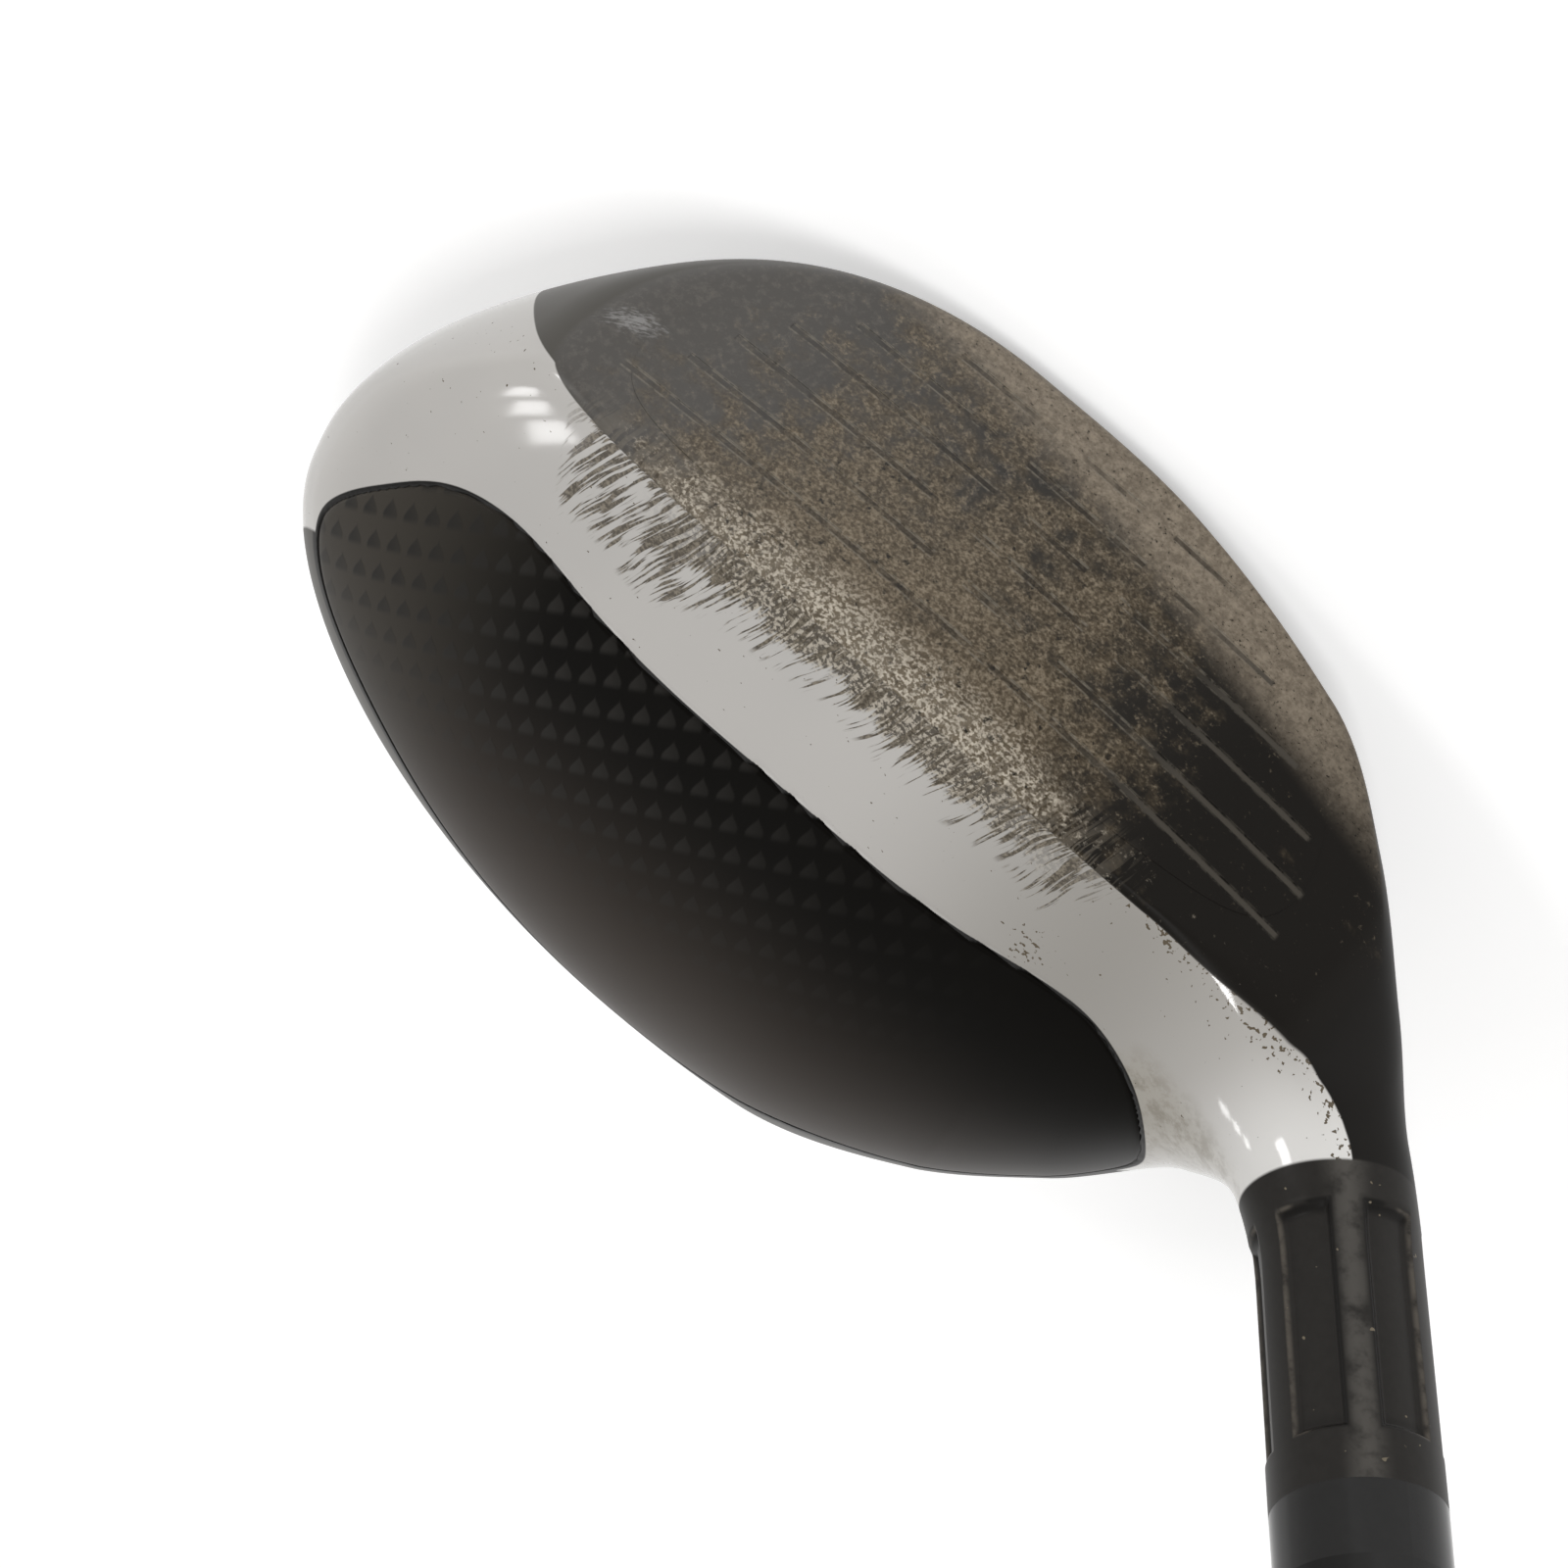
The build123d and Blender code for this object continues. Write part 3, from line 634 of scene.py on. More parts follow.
def face_colours(n, position):
    """Worn black coating: colour, roughness, specular level and how far it is worn."""
    x, _, z = n.split(position)
    fine = n.noise(position, 1.25, 4, 0.72)
    speck = n.noise(n.scaled(position, 1.0, 1.0, 1.25), 2.8, 2, 0.6)
    coarse = n.noise(position, 0.16, 3, 0.6)
    cloud = n.noise(position, 0.42, 3, 0.6)
    grain = n.math("MULTIPLY_ADD", fine, 0.7, n.math("MULTIPLY", speck, 0.3))
    centre = n.math("MULTIPLY", n.ramp(x, 2, 26), n.ramp(x, 74, 40))
    high = n.ramp(z, 10, 36)
    edge = n.math("MULTIPLY_ADD", x, 0.175, z)
    low = n.math("MULTIPLY", n.ramp(edge, 17.6, 12.6), n.ramp(x, -22, 8))
    # a film of fine brown and beige wear, thickest high up in the middle
    amount = n.math("MULTIPLY", centre, n.math("MULTIPLY_ADD", high, 0.13, 0.13))
    amount = n.math("MULTIPLY_ADD", n.math("SUBTRACT", coarse, 0.5), 0.22, amount)
    amount = n.math("MULTIPLY_ADD", n.math("SUBTRACT", cloud, 0.5), 0.16, amount)
    amount = n.math("MULTIPLY_ADD", product(n, centre, n.ramp(z, 29, 35)), 0.10, amount)
    light = n.ramp(n.math("ADD", grain, amount), 0.60, 0.86)
    film = n.ramp(n.math("MULTIPLY_ADD", cloud, 0.20, amount), 0.15, 0.31)
    pits = n.ramp(n.noise(position, 1.1, 3, 0.7), 0.42, 0.30)
    dark = n.colour(n.ramp(x, 26, 62), (0.021, 0.0185, 0.0155), (0.072, 0.067, 0.061))
    dark = n.colour(n.ramp(x, 22, 4), dark, (0.0105, 0.0092, 0.0078))
    flecks = product(n, n.ramp(fine, 0.46, 0.68), n.ramp(x, 8, 40), 0.5)
    dark = n.colour(flecks, dark, (0.125, 0.115, 0.102))
    brown = n.colour(n.ramp(speck, 0.36, 0.64), (0.058, 0.044, 0.028), (0.128, 0.102, 0.069))
    colour = n.colour(n.math("MULTIPLY", film, 0.9), dark, brown)
    beige = n.colour(n.ramp(speck, 0.40, 0.70), (0.125, 0.098, 0.066), (0.235, 0.195, 0.142))
    bright = n.colour(n.ramp(speck, 0.44, 0.60), (0.150, 0.122, 0.085), (0.52, 0.47, 0.39))
    beige = n.colour(n.ramp(z, 29.5, 34.5), beige, bright)
    colour = n.colour(n.math("MULTIPLY", light, n.ramp(x, 72, 52)), colour, beige)
    colour = n.colour(n.math("MULTIPLY", pits, film), colour, (0.017, 0.0145, 0.011))
    # taupe band along the leading edge, beige toward the heel
    taupe = n.colour(n.ramp(grain, 0.36, 0.64), (0.160, 0.132, 0.100), (0.285, 0.240, 0.185))
    taupe = n.colour(n.ramp(speck, 0.36, 0.28), taupe, (0.030, 0.025, 0.019))
    colour = n.colour(n.math("MULTIPLY", low, 0.88), colour, taupe)
    # pale brushed patch near the toe, in short slanted hairs
    across = n.math("SUBTRACT", n.math("MULTIPLY_ADD", z, 0.95, x), 91.0)
    along = n.math("SUBTRACT", n.math("MULTIPLY_ADD", x, -0.45, z), -5.6)
    far = n.tree.nodes.new("ShaderNodeVectorMath")
    far.operation = "LENGTH"
    n.link(n.join(n.math("MULTIPLY", across, 0.42), 0.0, along), far.inputs[0])
    hair_place = n.join(n.math("MULTIPLY", across, 0.5), 0.0, n.math("MULTIPLY", along, 2.4))
    hair = n.noise(hair_place, 1.5, 3, 0.65)
    near = n.ramp(far.outputs["Value"], 3.0, 0.2)
    patch = n.ramp(n.math("MULTIPLY_ADD", near, 0.26, n.math("MULTIPLY", hair, 0.85)), 0.56, 0.74)
    colour = n.colour(product(n, patch, near, 0.8), colour, (0.27, 0.265, 0.26))
    # score lines: dark with thin light rims in the middle, greyer at the heel
    line, rim = score_masks(n, x, z)
    broken = n.ramp(n.noise(position, 0.9, 3, 0.7), 0.40, 0.60)
    filled = n.ramp(n.noise(position, 0.28, 2), 0.62, 0.42)
    line_colour = n.colour(n.ramp(x, 22, 8), (0.014, 0.0115, 0.009), (0.066, 0.059, 0.049))
    line_share = n.math("MULTIPLY", filled, n.ramp(x, 70, 40))
    line_share = n.math("MAXIMUM", n.ramp(x, 20, 8), n.math("MULTIPLY_ADD", line_share, 0.6, 0.12))
    colour = n.colour(product(n, line, line_share, 0.9), colour, line_colour)
    heel_rim = n.math("MULTIPLY_ADD", n.ramp(x, 18, 6), -0.45, 0.60)
    colour = n.colour(product(n, rim, broken, heel_rim), colour, (0.21, 0.19, 0.155))
    rough = n.blend(n.math("MAXIMUM", light, low), 0.42, 0.60)
    level = n.math("MULTIPLY_ADD", n.ramp(x, 6, 60), 0.30, 0.06)
    return colour, rough, level, light


def scuffs(n, position, gap):
    """Scuffs over the top line: mask, colour and the share that is worn through the white."""
    x, _, z = n.split(position)
    down = n.math("MAXIMUM", n.math("SUBTRACT", CREASE_Z, z), 0.0)
    down = n.math("MULTIPLY", down, n.ramp(gap, 0.3, -0.3))
    across = n.math("SUBTRACT", n.math("MAXIMUM", gap, 0.0), down)
    bend = n.math("MULTIPLY", n.math("MULTIPLY", across, across), 0.012)
    lean = n.math("SUBTRACT", x, n.math("MULTIPLY_ADD", across, 0.22, bend))
    wobble = n.noise(n.join(n.math("MULTIPLY", x, 0.16), n.math("MULTIPLY", across, 0.10), 2.0), 1.0, 1)
    lean = n.math("MULTIPLY_ADD", wobble, 2.2, lean)
    thin_place = n.join(n.math("MULTIPLY", lean, 3.3), n.math("MULTIPLY", across, 0.20), 0.0)
    thin = n.noise(thin_place, 1.0, 2, 0.5)
    wide_place = n.join(n.math("MULTIPLY", lean, 1.2), n.math("MULTIPLY", across, 0.15), 7.0)
    wide = n.noise(wide_place, 1.0, 1, 0.5)
    patchy = n.noise(n.join(n.math("MULTIPLY", x, 0.16), 3.0, 0.0), 1.0, 1)
    toe_long = n.math("MULTIPLY", n.ramp(x, 42, 52), n.ramp(x, 68, 62))
    reach = n.math("MULTIPLY", n.ramp(x, 68, 62), n.ramp(x, 4, 11))
    length = n.math("MULTIPLY_ADD", toe_long, 3.4, n.math("MULTIPLY_ADD", patchy, 4.4, 5.4))
    length = n.math("MULTIPLY", length, reach)
    inside = n.math("SUBTRACT", length, n.math("MAXIMUM", across, 0.0))
    level = n.math("MULTIPLY_ADD", wide, 0.35, n.math("MULTIPLY", thin, 0.65))
    level = n.math("MULTIPLY_ADD", n.math("MINIMUM", inside, 6.0), 0.016, level)
    on_face = n.ramp(across, -5.5, -1.0)
    sparse = n.math("MULTIPLY", n.ramp(x, 12, 20), n.ramp(x, 52, 42))
    level = n.math("MULTIPLY_ADD", sparse, -0.020, level)
    mask = product(n, n.ramp(level, 0.550, 0.600), n.ramp(inside, -0.2, 1.2), on_face, reach, 0.92)
    grit = n.noise(position, 2.6, 3, 0.65)
    colour = n.colour(n.ramp(grit, 0.40, 0.66), (0.060, 0.048, 0.033), (0.215, 0.185, 0.140))
    middle = n.math("MULTIPLY", n.ramp(x, 58, 46), n.ramp(x, 8, 20))
    depth = n.math("MULTIPLY_ADD", patchy, 4.6, 2.4)
    ragged = n.math("MULTIPLY_ADD", n.math("SUBTRACT", level, 0.52), 11.0, depth)
    through = n.math("MULTIPLY", n.ramp(n.math("SUBTRACT", ragged, across), -0.4, 0.8), middle)
    return mask, colour, through


def head_material():
    """White front band, black sole and skirt, worn face, and the matte fluted hosel, with painted shade
    and highlight on the white heel and neck and on the hosel's flutes.
    """
    n = Nodes("head_paint")
    position = n.head_place()
    x, y, z = n.split(position)
    crease = n.attribute("crease")
    paint = n.attribute("paint")
    panel = n.attribute("panel")
    axis_t = n.attribute("axis_t")
    face, face_rough, face_level, _ = face_colours(n, position)
    scuff, scuff_colour, through = scuffs(n, position, crease)

    # small chips along the paint's edge and a few smudges on the white
    chip = n.noise(position, 2.1, 2, 0.5)
    near_edge = product(n, n.ramp(paint, 3.2, 0.2), n.ramp(x, 10, 1), n.ramp(x, -24, -20))
    off_x = n.math("SUBTRACT", x, CHIPPED_SPOT[0])
    off_y = n.math("SUBTRACT", y, CHIPPED_SPOT[1])
    spot = n.math("SQRT", n.math("MULTIPLY_ADD", off_x, off_x, n.math("MULTIPLY", off_y, off_y)))
    near_edge = n.math("MAXIMUM", near_edge, n.math("MULTIPLY", n.ramp(spot, 3.6, 1.0), 0.8))
    chips = n.ramp(n.math("MULTIPLY_ADD", near_edge, 0.17, chip), 0.735, 0.76)
    rare = n.ramp(n.noise(position, 0.95, 2, 0.6), 0.775, 0.79)
    smudge_place = n.math("MULTIPLY", n.ramp(x, -1, -5), n.ramp(y, -0.5, 4))
    smudge = n.math("MULTIPLY", n.ramp(n.noise(position, 0.55, 4, 0.7), 0.42, 0.66), smudge_place)
    white = n.colour(n.ramp(n.noise(position, 0.05, 2), 0.35, 0.7), WHITE, (0.50, 0.485, 0.465))
    # painted shade: the white is darkened over the heel, below the neck
    painted_heel_shade = n.math("MULTIPLY", n.ramp(x, 30, 4), n.ramp(axis_t, 41, 27))
    white = n.colour(n.math("MULTIPLY", painted_heel_shade, 0.8), white, (0.290, 0.275, 0.250))
    # painted highlight: the white is lightened up the neck toward the hosel's ring
    white = n.colour(n.ramp(axis_t, 34, 43), white, (0.72, 0.71, 0.69))
    white = n.colour(n.math("MULTIPLY", smudge_place, 0.40), white, (0.330, 0.300, 0.235))
    white = n.colour(n.math("MULTIPLY", smudge, 0.6), white, (0.22, 0.195, 0.155))
    white = n.colour(n.math("MAXIMUM", chips, rare), white, (0.105, 0.083, 0.055))
    bare_grain = n.ramp(n.noise(position, 2.4, 3, 0.65), 0.44, 0.58)
    bare = n.colour(bare_grain, (0.060, 0.048, 0.032), (0.43, 0.385, 0.315))
    white = n.colour(n.math("MULTIPLY", through, 0.92), white, bare)
    white = n.colour(scuff, white, scuff_colour)

    # where the white paint lies: its borders at toe, skirt, back, crown panel and hosel ring
    toe_side = n.ramp(n.math("MULTIPLY_ADD", n.math("ADD", y, 13.0), 2.11, z), 36.2, 36.5)
    skirt = n.ramp(n.math("MULTIPLY_ADD", n.math("MAXIMUM", y, 0.0), -0.25, z), 12.0, 12.3)
    behind_toe = n.math("MULTIPLY_ADD", n.math("MINIMUM", z, 30.0), 1.5, y)
    behind_heel = n.math("MULTIPLY_ADD", n.ramp(x, 0, 20), -40.0, y)
    behind = n.math("MULTIPLY", n.ramp(behind_toe, 71.2, 70.8), n.ramp(behind_heel, 22.3, 22.1))
    not_panel = n.ramp(panel, 0.14, 0.28)
    below_ring = n.ramp(axis_t, RING_EDGE + 0.15, RING_EDGE - 0.15)
    above_ring = n.ramp(axis_t, RING_EDGE - 0.15, RING_EDGE + 0.15)
    white_mask = product(n, n.ramp(paint, -0.10, 0.10), toe_side, skirt, behind, not_panel, below_ring)

    black = n.colour(n.noise(position, 0.7, 2), (0.052, 0.048, 0.042), (0.070, 0.065, 0.057))
    black = n.colour(n.ramp(x, 45, 75), black, (0.088, 0.083, 0.074))
    black = n.colour(n.ramp(n.math("ABSOLUTE", panel), 0.9, 0.4), black, (0.006, 0.0055, 0.005))
    flute = n.attribute("flute")
    ridge = n.attribute("ridge")
    matte = n.colour(n.noise(position, 1.2, 3, 0.6), (0.0165, 0.0150, 0.0135), (0.0250, 0.0230, 0.0208))
    # painted highlight: the ridge between the two front flutes is lightened in uneven patches
    on_ridge = n.math("MULTIPLY", n.ramp(ridge, 19, 0), n.ramp(flute, 0.0, 0.7))
    painted_ridge_sheen = n.math("MULTIPLY", on_ridge, n.ramp(n.noise(position, 0.5, 3, 0.6), 0.25, 0.60))
    matte = n.colour(painted_ridge_sheen, matte, (0.078, 0.073, 0.066))
    # light lines along the flutes' outer lips: partly wear, partly painted highlight on their lit edges
    lip = n.math("MULTIPLY", n.ramp(n.math("ABSOLUTE", flute), 0.26, 0.02), n.ramp(ridge, 34, 40))
    worn_and_lit_lip = product(n, lip, n.ramp(n.noise(position, 0.7, 3, 0.6), 0.22, 0.60), 0.8)
    matte = n.colour(worn_and_lit_lip, matte, (0.105, 0.093, 0.078))
    # painted shade: dark along the flutes' inner edges by the ridge and at their top ends
    top_end = n.ramp(axis_t, FLUTE_START + 1.2, FLUTE_START + 0.2)
    inner = n.math("MULTIPLY", n.ramp(n.math("ABSOLUTE", flute), 0.34, 0.05), n.ramp(ridge, 30, 24))
    inner = n.math("MAXIMUM", inner, n.math("MULTIPLY", n.ramp(flute, 0.1, -0.2), top_end))
    matte = n.colour(n.math("MULTIPLY", inner, 0.8), matte, (0.005, 0.0045, 0.004))
    dots = n.ramp(n.noise(position, 1.3, 1, 0.5), 0.765, 0.785)
    matte = n.colour(dots, matte, (0.17, 0.145, 0.105))
    face = n.colour(n.math("MULTIPLY", scuff, 0.35), face, SCUFFED_FACE)
    front = n.math("MULTIPLY", n.ramp(crease, 0.4, -0.4), n.ramp(x, -16, -10))
    on_neck = n.ramp(x, -4, -14)
    body = n.colour(front, n.colour(on_neck, black, (0.0085, 0.0075, 0.0065)), face)
    body = n.colour(above_ring, body, matte)
    colour = n.colour(white_mask, body, white)
    rough = n.blend(front, n.blend(on_neck, 0.38, 0.45), face_rough)
    rough = n.blend(above_ring, rough, 0.42)
    spoiled = n.math("MAXIMUM", scuff, through)
    rough = n.blend(white_mask, rough, n.blend(spoiled, 0.09, 0.62))
    level = n.blend(white_mask, n.blend(front, 0.12, face_level), n.blend(spoiled, 0.5, 0.25))
    height = n.math("MULTIPLY_ADD", spoiled, -0.5, n.math("MULTIPLY", n.noise(position, 2.4, 3), 0.35))
    uneven = n.math("MAXIMUM", n.math("MULTIPLY", front, 0.8), n.math("MULTIPLY", spoiled, white_mask))
    normal = n.bump(n.math("MULTIPLY", height, uneven), 0.4, 0.0001)
    return n.finish(Base_Color=colour, Roughness=rough, Specular_IOR_Level=level, Normal=normal)


def crown_material():
    """Gloss black over a weave that shows as rows of drop-shaped facets, lightened toward the rear and
    the toe as painted reflection.
    """
    n = Nodes("carbon_crown")
    position = n.head_place()
    x, y, _ = n.split(position)
    along = n.math("MULTIPLY_ADD", x, WEAVE_ALONG[0], n.math("MULTIPLY", y, WEAVE_ALONG[1]))
    across = n.math("MULTIPLY_ADD", x, WEAVE_ACROSS[0], n.math("MULTIPLY", y, WEAVE_ACROSS[1]))
    cell_u = n.math("SUBTRACT", n.math("FRACT", n.math("ADD", along, WEAVE_OFFSET[0])), 0.5)
    cell_v = n.math("SUBTRACT", n.math("FRACT", n.math("ADD", across, WEAVE_OFFSET[1])), 0.5)
    width = n.math("MULTIPLY", n.ramp(cell_v, -0.46, 0.16), 0.38)
    upright = n.math("MULTIPLY_ADD", cell_v, 0.46, cell_u)
    inside = n.math("SUBTRACT", width, n.math("ABSOLUTE", upright))
    facet = n.math("MULTIPLY", n.ramp(inside, -0.02, 0.10), n.ramp(cell_v, 0.36, 0.12))
    side = n.ramp(cell_u, -0.3, 0.3)
    fade = n.math("MULTIPLY", n.ramp(x, 4, 58), n.ramp(y, 44, 22))
    low = n.colour(n.noise(position, 0.25, 2), (0.0022, 0.0018, 0.0012), (0.0032, 0.0027, 0.0020))
    # painted reflection: the base is lightened toward the rear and, more, toward the toe
    low = n.colour(n.ramp(y, 12, 58), low, (0.041, 0.0305, 0.0230))
    low = n.colour(n.ramp(x, 56, 82), low, (0.050, 0.0440, 0.0360))
    share = product(n, facet, fade, n.math("MULTIPLY_ADD", side, -0.35, 1.0))
    colour = n.colour(share, low, (0.0215, 0.0200, 0.0180))
    normal = n.bump(n.math("MULTIPLY", facet, fade), 0.06, 0.0002)
    return n.finish(Base_Color=colour, Roughness=0.36, Specular_IOR_Level=0.06, Normal=normal)


def face_material():
    """The worn black coating of the face plate."""
    n = Nodes("face_coating")
    position = n.head_place()
    colour, rough, level, wear = face_colours(n, position)
    scuff, _, _ = scuffs(n, position, PLATE_GAP)
    colour = n.colour(n.math("MULTIPLY", scuff, 0.35), colour, SCUFFED_FACE)
    height = n.math("MULTIPLY_ADD", wear, -0.4, n.noise(position, 2.5, 3))
    normal = n.bump(height, 0.4, 0.0001)
    return n.finish(Base_Color=colour, Roughness=rough, Specular_IOR_Level=level, Normal=normal)


PLAIN_LOOKS = [
    # node, material, dark, light, roughness, specular level, the spots' scale, their bump
    ("crown_bond", "cured_epoxy", (0.16, 0.12, 0.06), (0.30, 0.24, 0.14), 0.35, 0.5, 0.8, 0),
    ("slot_insert", "slot_filler", (0.012, 0.012, 0.012), (0.03, 0.03, 0.03), 0.6, 0.5, 1.5, 0.3),
    ("ferrule", "ferrule_gloss", (0.008, 0.0078, 0.0075), (0.013, 0.0128, 0.0125), 0.14, 0.25, 1.0, 0),
    ("shaft", "shaft_lacquer", (0.010, 0.010, 0.012), (0.018, 0.018, 0.02), 0.16, 0.4, 0.5, 0),
    ("shaft_bond", "tip_epoxy", (0.16, 0.12, 0.06), (0.30, 0.24, 0.14), 0.35, 0.5, 0.8, 0),
    ("tip_weight", "weight_metal", (0.45, 0.33, 0.12), (0.60, 0.46, 0.20), 0.3, 0.5, 1.2, 0),
    ("grip_tape", "tape_paper", (0.55, 0.50, 0.38), (0.70, 0.65, 0.52), 0.8, 0.5, 0.9, 0),
]


def plain_gloss(name, dark, light, rough, level, scale, strength):
    """Two near colours in soft spots, with a bump where it has a strength."""
    n = Nodes(name)
    position = n.head_place()
    spots = n.noise(position, scale, 3, 0.6)
    colour = n.colour(spots, dark, light)
    if strength:
        normal = n.bump(spots, strength, 0.0002)
        return n.finish(Base_Color=colour, Roughness=rough, Specular_IOR_Level=level, Normal=normal)
    return n.finish(Base_Color=colour, Roughness=rough, Specular_IOR_Level=level)


GROOVES_ROUND = 14.0  # grooves of each slant round the grip
GROOVE_RISE = 1.9  # radians of the pattern per mm along the grip


def grip_material(name, pattern):
    """Dull rubber, with a fine pattern of crossing grooves where pattern is 1."""
    n = Nodes(name)
    position = n.head_place()
    x, y, z = n.split(position)
    along = n.math("MULTIPLY_ADD", x, AXIS[0], n.math("MULTIPLY", z, AXIS[2]))
    up = n.math("MULTIPLY_ADD", x, AXIS[2], n.math("MULTIPLY", z, -AXIS[0]))
    angle = n.math("ARCTAN2", up, n.math("MULTIPLY", y, -1.0))
    rise = n.math("MULTIPLY", along, GROOVE_RISE)
    one = n.math("SINE", n.math("MULTIPLY_ADD", angle, GROOVES_ROUND, rise))
    other = n.math("SINE", n.math("MULTIPLY_ADD", angle, -GROOVES_ROUND, rise))
    groove = n.math("MAXIMUM", n.ramp(one, 0.55, 0.95), n.ramp(other, 0.55, 0.95))
    spots = n.noise(position, 0.9, 3, 0.6)
    colour = n.colour(spots, (0.014, 0.0135, 0.013), (0.027, 0.026, 0.025))
    # painted shade: the grooves are darkened in the rubber's colour
    share = n.math("MULTIPLY", groove, 0.6 * pattern)
    colour = n.colour(share, colour, (0.007, 0.007, 0.0065))
    height = n.math("MULTIPLY_ADD", groove, -pattern, n.math("MULTIPLY", spots, 0.3))
    return n.finish(Base_Color=colour, Roughness=0.62, Normal=n.bump(height, 0.5, 0.0003))


# ---------------------------------------------------------------- assembly
def dress(name, material):
    obj = nodes[name]
    obj.data.materials.clear()
    obj.data.materials.append(material)


head = make_head()
head.data.materials.append(head_material())
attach(head, "root")
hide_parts("head_body")

crown = make_panel()
crown.data.materials.append(crown_material())
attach(crown, "root")
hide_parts("crown_panel")

dress("face_plate", face_material())
for node_name, *look in PLAIN_LOOKS:
    dress(node_name, plain_gloss(*look))
dress("grip", grip_material("grip_rubber", 1.0))
dress("grip_cap", grip_material("cap_rubber", 0.0))


# ---------------------------------------------------------------- floor, lights and camera
HEAD_MIDDLE = (30.0, 10.0, 20.0)  # in the head's frame, as is the camera's place
LAMP_DISTANCE = 2.0  # metres from the head
# directions of three small lamps, which show as a window's glints on the white gloss
WINDOW_PANES = [(0.66, 0.43, 0.62), (0.57, 0.50, 0.65), (0.48, 0.56, 0.68)]
WORLD_TOP = 0.42  # the world's strength overhead, against 1 low down
FLOOR_HALF = 6.0  # metres
GLOW_NEAR = (0.25, 0.42)  # metres from the head, and the strength of the floor's glow there
GLOW_FAR = (1.6, 0.75)
SKY_LOW, SKY_HIGH = 0.05, 0.36  # the world goes from white to grey between these heights
CAMERA_PLACE = np.array([4.32, -187.64, 218.77])
CAMERA_TURN = (0.848, -2.444, -0.991)  # radians round each axis of the head
FOCAL_WIDTHS = 2.0368  # focal length in widths of the picture
SENSOR = 36.0  # millimetres


def shown_rays(tree):
    """1 for rays from the camera, from gloss and through glass; 0 for rays that only light."""
    path = tree.nodes.new("ShaderNodeLightPath")
    total = path.outputs["Is Camera Ray"]
    for name in ("Is Glossy Ray", "Is Transmission Ray"):
        both = tree.nodes.new("ShaderNodeMath")
        both.operation = "MAXIMUM"
        tree.links.new(total, both.inputs[0])
        tree.links.new(path.outputs[name], both.inputs[1])
        total = both.outputs[0]
    return total


def make_floor():
    """A plain floor at the sole's height, shown paler to the camera and in gloss."""
    mesh = bpy.data.meshes.new("floor")
    low = float(cad_box[0][2])
    turns = [(-1, -1), (1, -1), (1, 1), (-1, 1)]
    corners = [(x * FLOOR_HALF, y * FLOOR_HALF, low) for x, y in turns]
    mesh.from_pydata(corners, [], [(0, 1, 2, 3)])
    obj = bpy.data.objects.new("floor", mesh)
    bpy.context.scene.collection.objects.link(obj)
    material = bpy.data.materials.new("floor_white")
    material.use_nodes = True
    tree = material.node_tree
    tree.nodes.clear()
    output = tree.nodes.new("ShaderNodeOutputMaterial")
    diffuse = tree.nodes.new("ShaderNodeBsdfDiffuse")
    diffuse.inputs["Color"].default_value = (0.80, 0.80, 0.80, 1)
    glow = tree.nodes.new("ShaderNodeEmission")
    coordinates = tree.nodes.new("ShaderNodeTexCoord")
    far = tree.nodes.new("ShaderNodeVectorMath")
    far.operation = "DISTANCE"
    far.inputs[1].default_value = (*place(HEAD_MIDDLE)[:2], low)
    rise = tree.nodes.new("ShaderNodeMapRange")
    rise.inputs["From Min"].default_value = GLOW_NEAR[0]
    rise.inputs["From Max"].default_value = GLOW_FAR[0]
    rise.inputs["To Min"].default_value = GLOW_NEAR[1]
    rise.inputs["To Max"].default_value = GLOW_FAR[1]
    tree.links.new(coordinates.outputs["Object"], far.inputs[0])
    tree.links.new(far.outputs["Value"], rise.inputs["Value"])
    tree.links.new(rise.outputs["Result"], glow.inputs["Strength"])
    add = tree.nodes.new("ShaderNodeAddShader")
    shown = tree.nodes.new("ShaderNodeMixShader")
    tree.links.new(diffuse.outputs[0], add.inputs[0])
    tree.links.new(glow.outputs[0], add.inputs[1])
    tree.links.new(shown_rays(tree), shown.inputs[0])
    tree.links.new(diffuse.outputs[0], shown.inputs[1])
    tree.links.new(add.outputs[0], shown.inputs[2])
    tree.links.new(shown.outputs[0], output.inputs["Surface"])
    mesh.materials.append(material)


def area_light(name, direction, size, share):
    """A lamp aimed at the head, giving a facing surface that share of its colour."""
    lamp = bpy.data.lights.new(name, "AREA")
    lamp.shape = "SQUARE"
    lamp.size = size
    lamp.energy = share * math.pi**2 * LAMP_DISTANCE**2
    obj = bpy.data.objects.new(name, lamp)
    bpy.context.scene.collection.objects.link(obj)
    target = Vector(place(HEAD_MIDDLE))
    obj.location = target + Vector(direction).normalized() * LAMP_DISTANCE
    obj.rotation_euler = (target - obj.location).to_track_quat("-Z", "Y").to_euler()
    obj.visible_camera = False


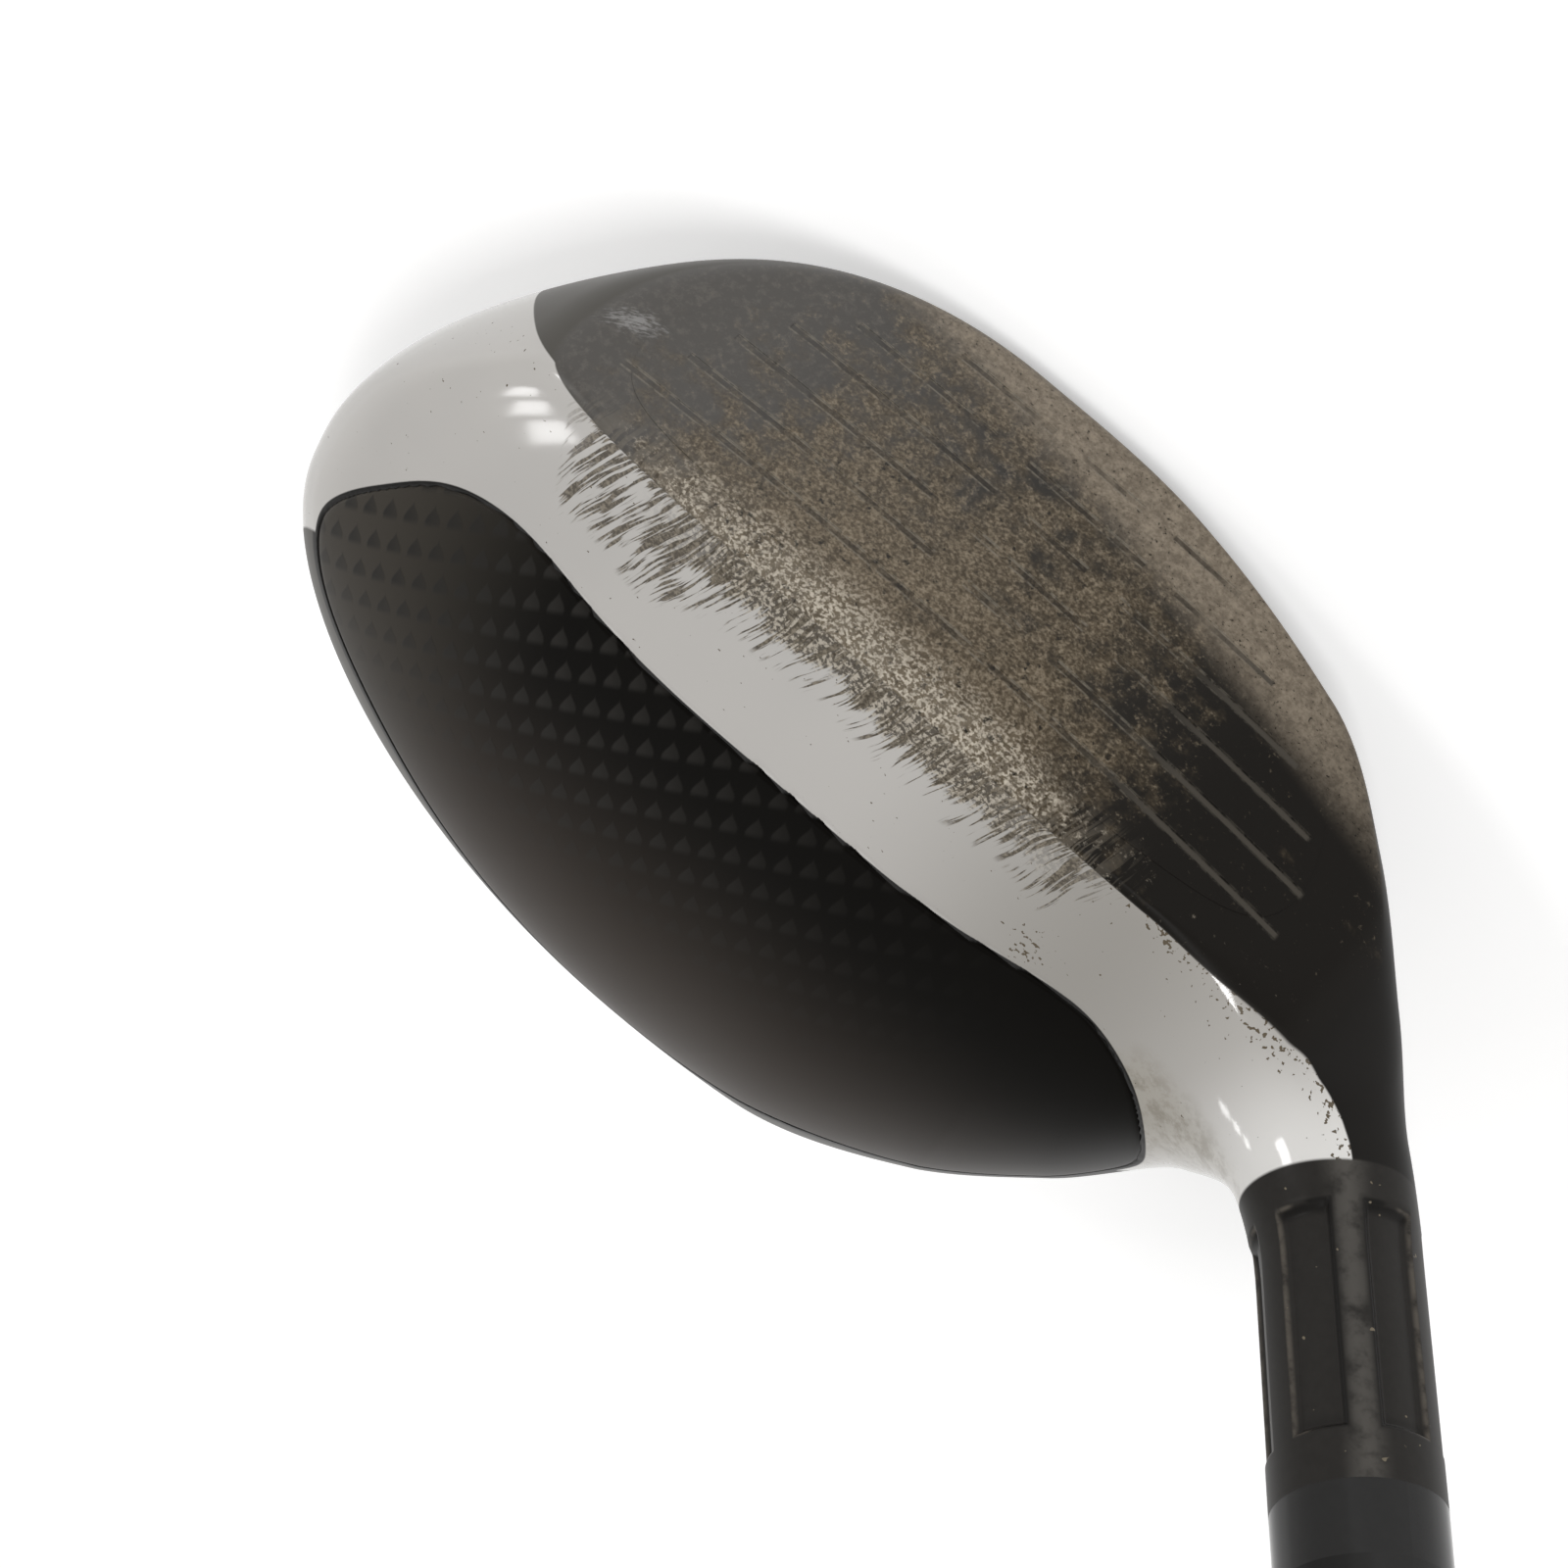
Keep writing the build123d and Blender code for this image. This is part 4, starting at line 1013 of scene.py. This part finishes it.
def make_world():
    """White low down all round, greyer overhead."""
    world = bpy.data.worlds.new("studio")
    bpy.context.scene.world = world
    world.use_nodes = True
    tree = world.node_tree
    tree.nodes.clear()
    output = tree.nodes.new("ShaderNodeOutputWorld")
    light = tree.nodes.new("ShaderNodeBackground")
    light.inputs["Color"].default_value = (1.0, 0.99, 0.975, 1)
    coordinates = tree.nodes.new("ShaderNodeTexCoord")
    parts = tree.nodes.new("ShaderNodeSeparateXYZ")
    fall = tree.nodes.new("ShaderNodeMapRange")
    fall.interpolation_type = "SMOOTHSTEP"
    fall.inputs["From Min"].default_value = SKY_LOW
    fall.inputs["From Max"].default_value = SKY_HIGH
    fall.inputs["To Min"].default_value = 1.0
    fall.inputs["To Max"].default_value = WORLD_TOP
    tree.links.new(coordinates.outputs["Generated"], parts.inputs[0])
    tree.links.new(parts.outputs[2], fall.inputs["Value"])
    tree.links.new(fall.outputs["Result"], light.inputs["Strength"])
    tree.links.new(light.outputs[0], output.inputs["Surface"])


def make_camera():
    """Camera as fitted: the turn vector takes head axes to right, down and forward."""
    turn = np.array(CAMERA_TURN)
    angle = np.linalg.norm(turn)
    rotation = np.array(Matrix.Rotation(angle, 3, Vector(turn / angle)))
    right, down, forward = rotation
    camera = bpy.data.cameras.new("camera")
    camera.sensor_width = SENSOR
    camera.lens = FOCAL_WIDTHS * SENSOR
    camera.clip_start = 0.01
    camera.clip_end = 50
    obj = bpy.data.objects.new("camera", camera)
    bpy.context.scene.collection.objects.link(obj)
    axes = Matrix([list(right), list(-down), list(-forward)]).transposed().to_4x4()
    obj.matrix_world = Matrix.Translation(Vector(place(CAMERA_PLACE))) @ axes
    bpy.context.scene.camera = obj


make_floor()
make_world()
area_light("key", (-0.35, -0.45, 0.82), 0.5, 0.42)
area_light("toe_lamp", (0.75, -0.26, 0.63), 0.4, 0.15)
for k, direction in enumerate(WINDOW_PANES):
    area_light("pane_%d" % (k + 1), direction, 0.16, 0.018)
make_camera()
bpy.context.scene.view_settings.view_transform = "Standard"
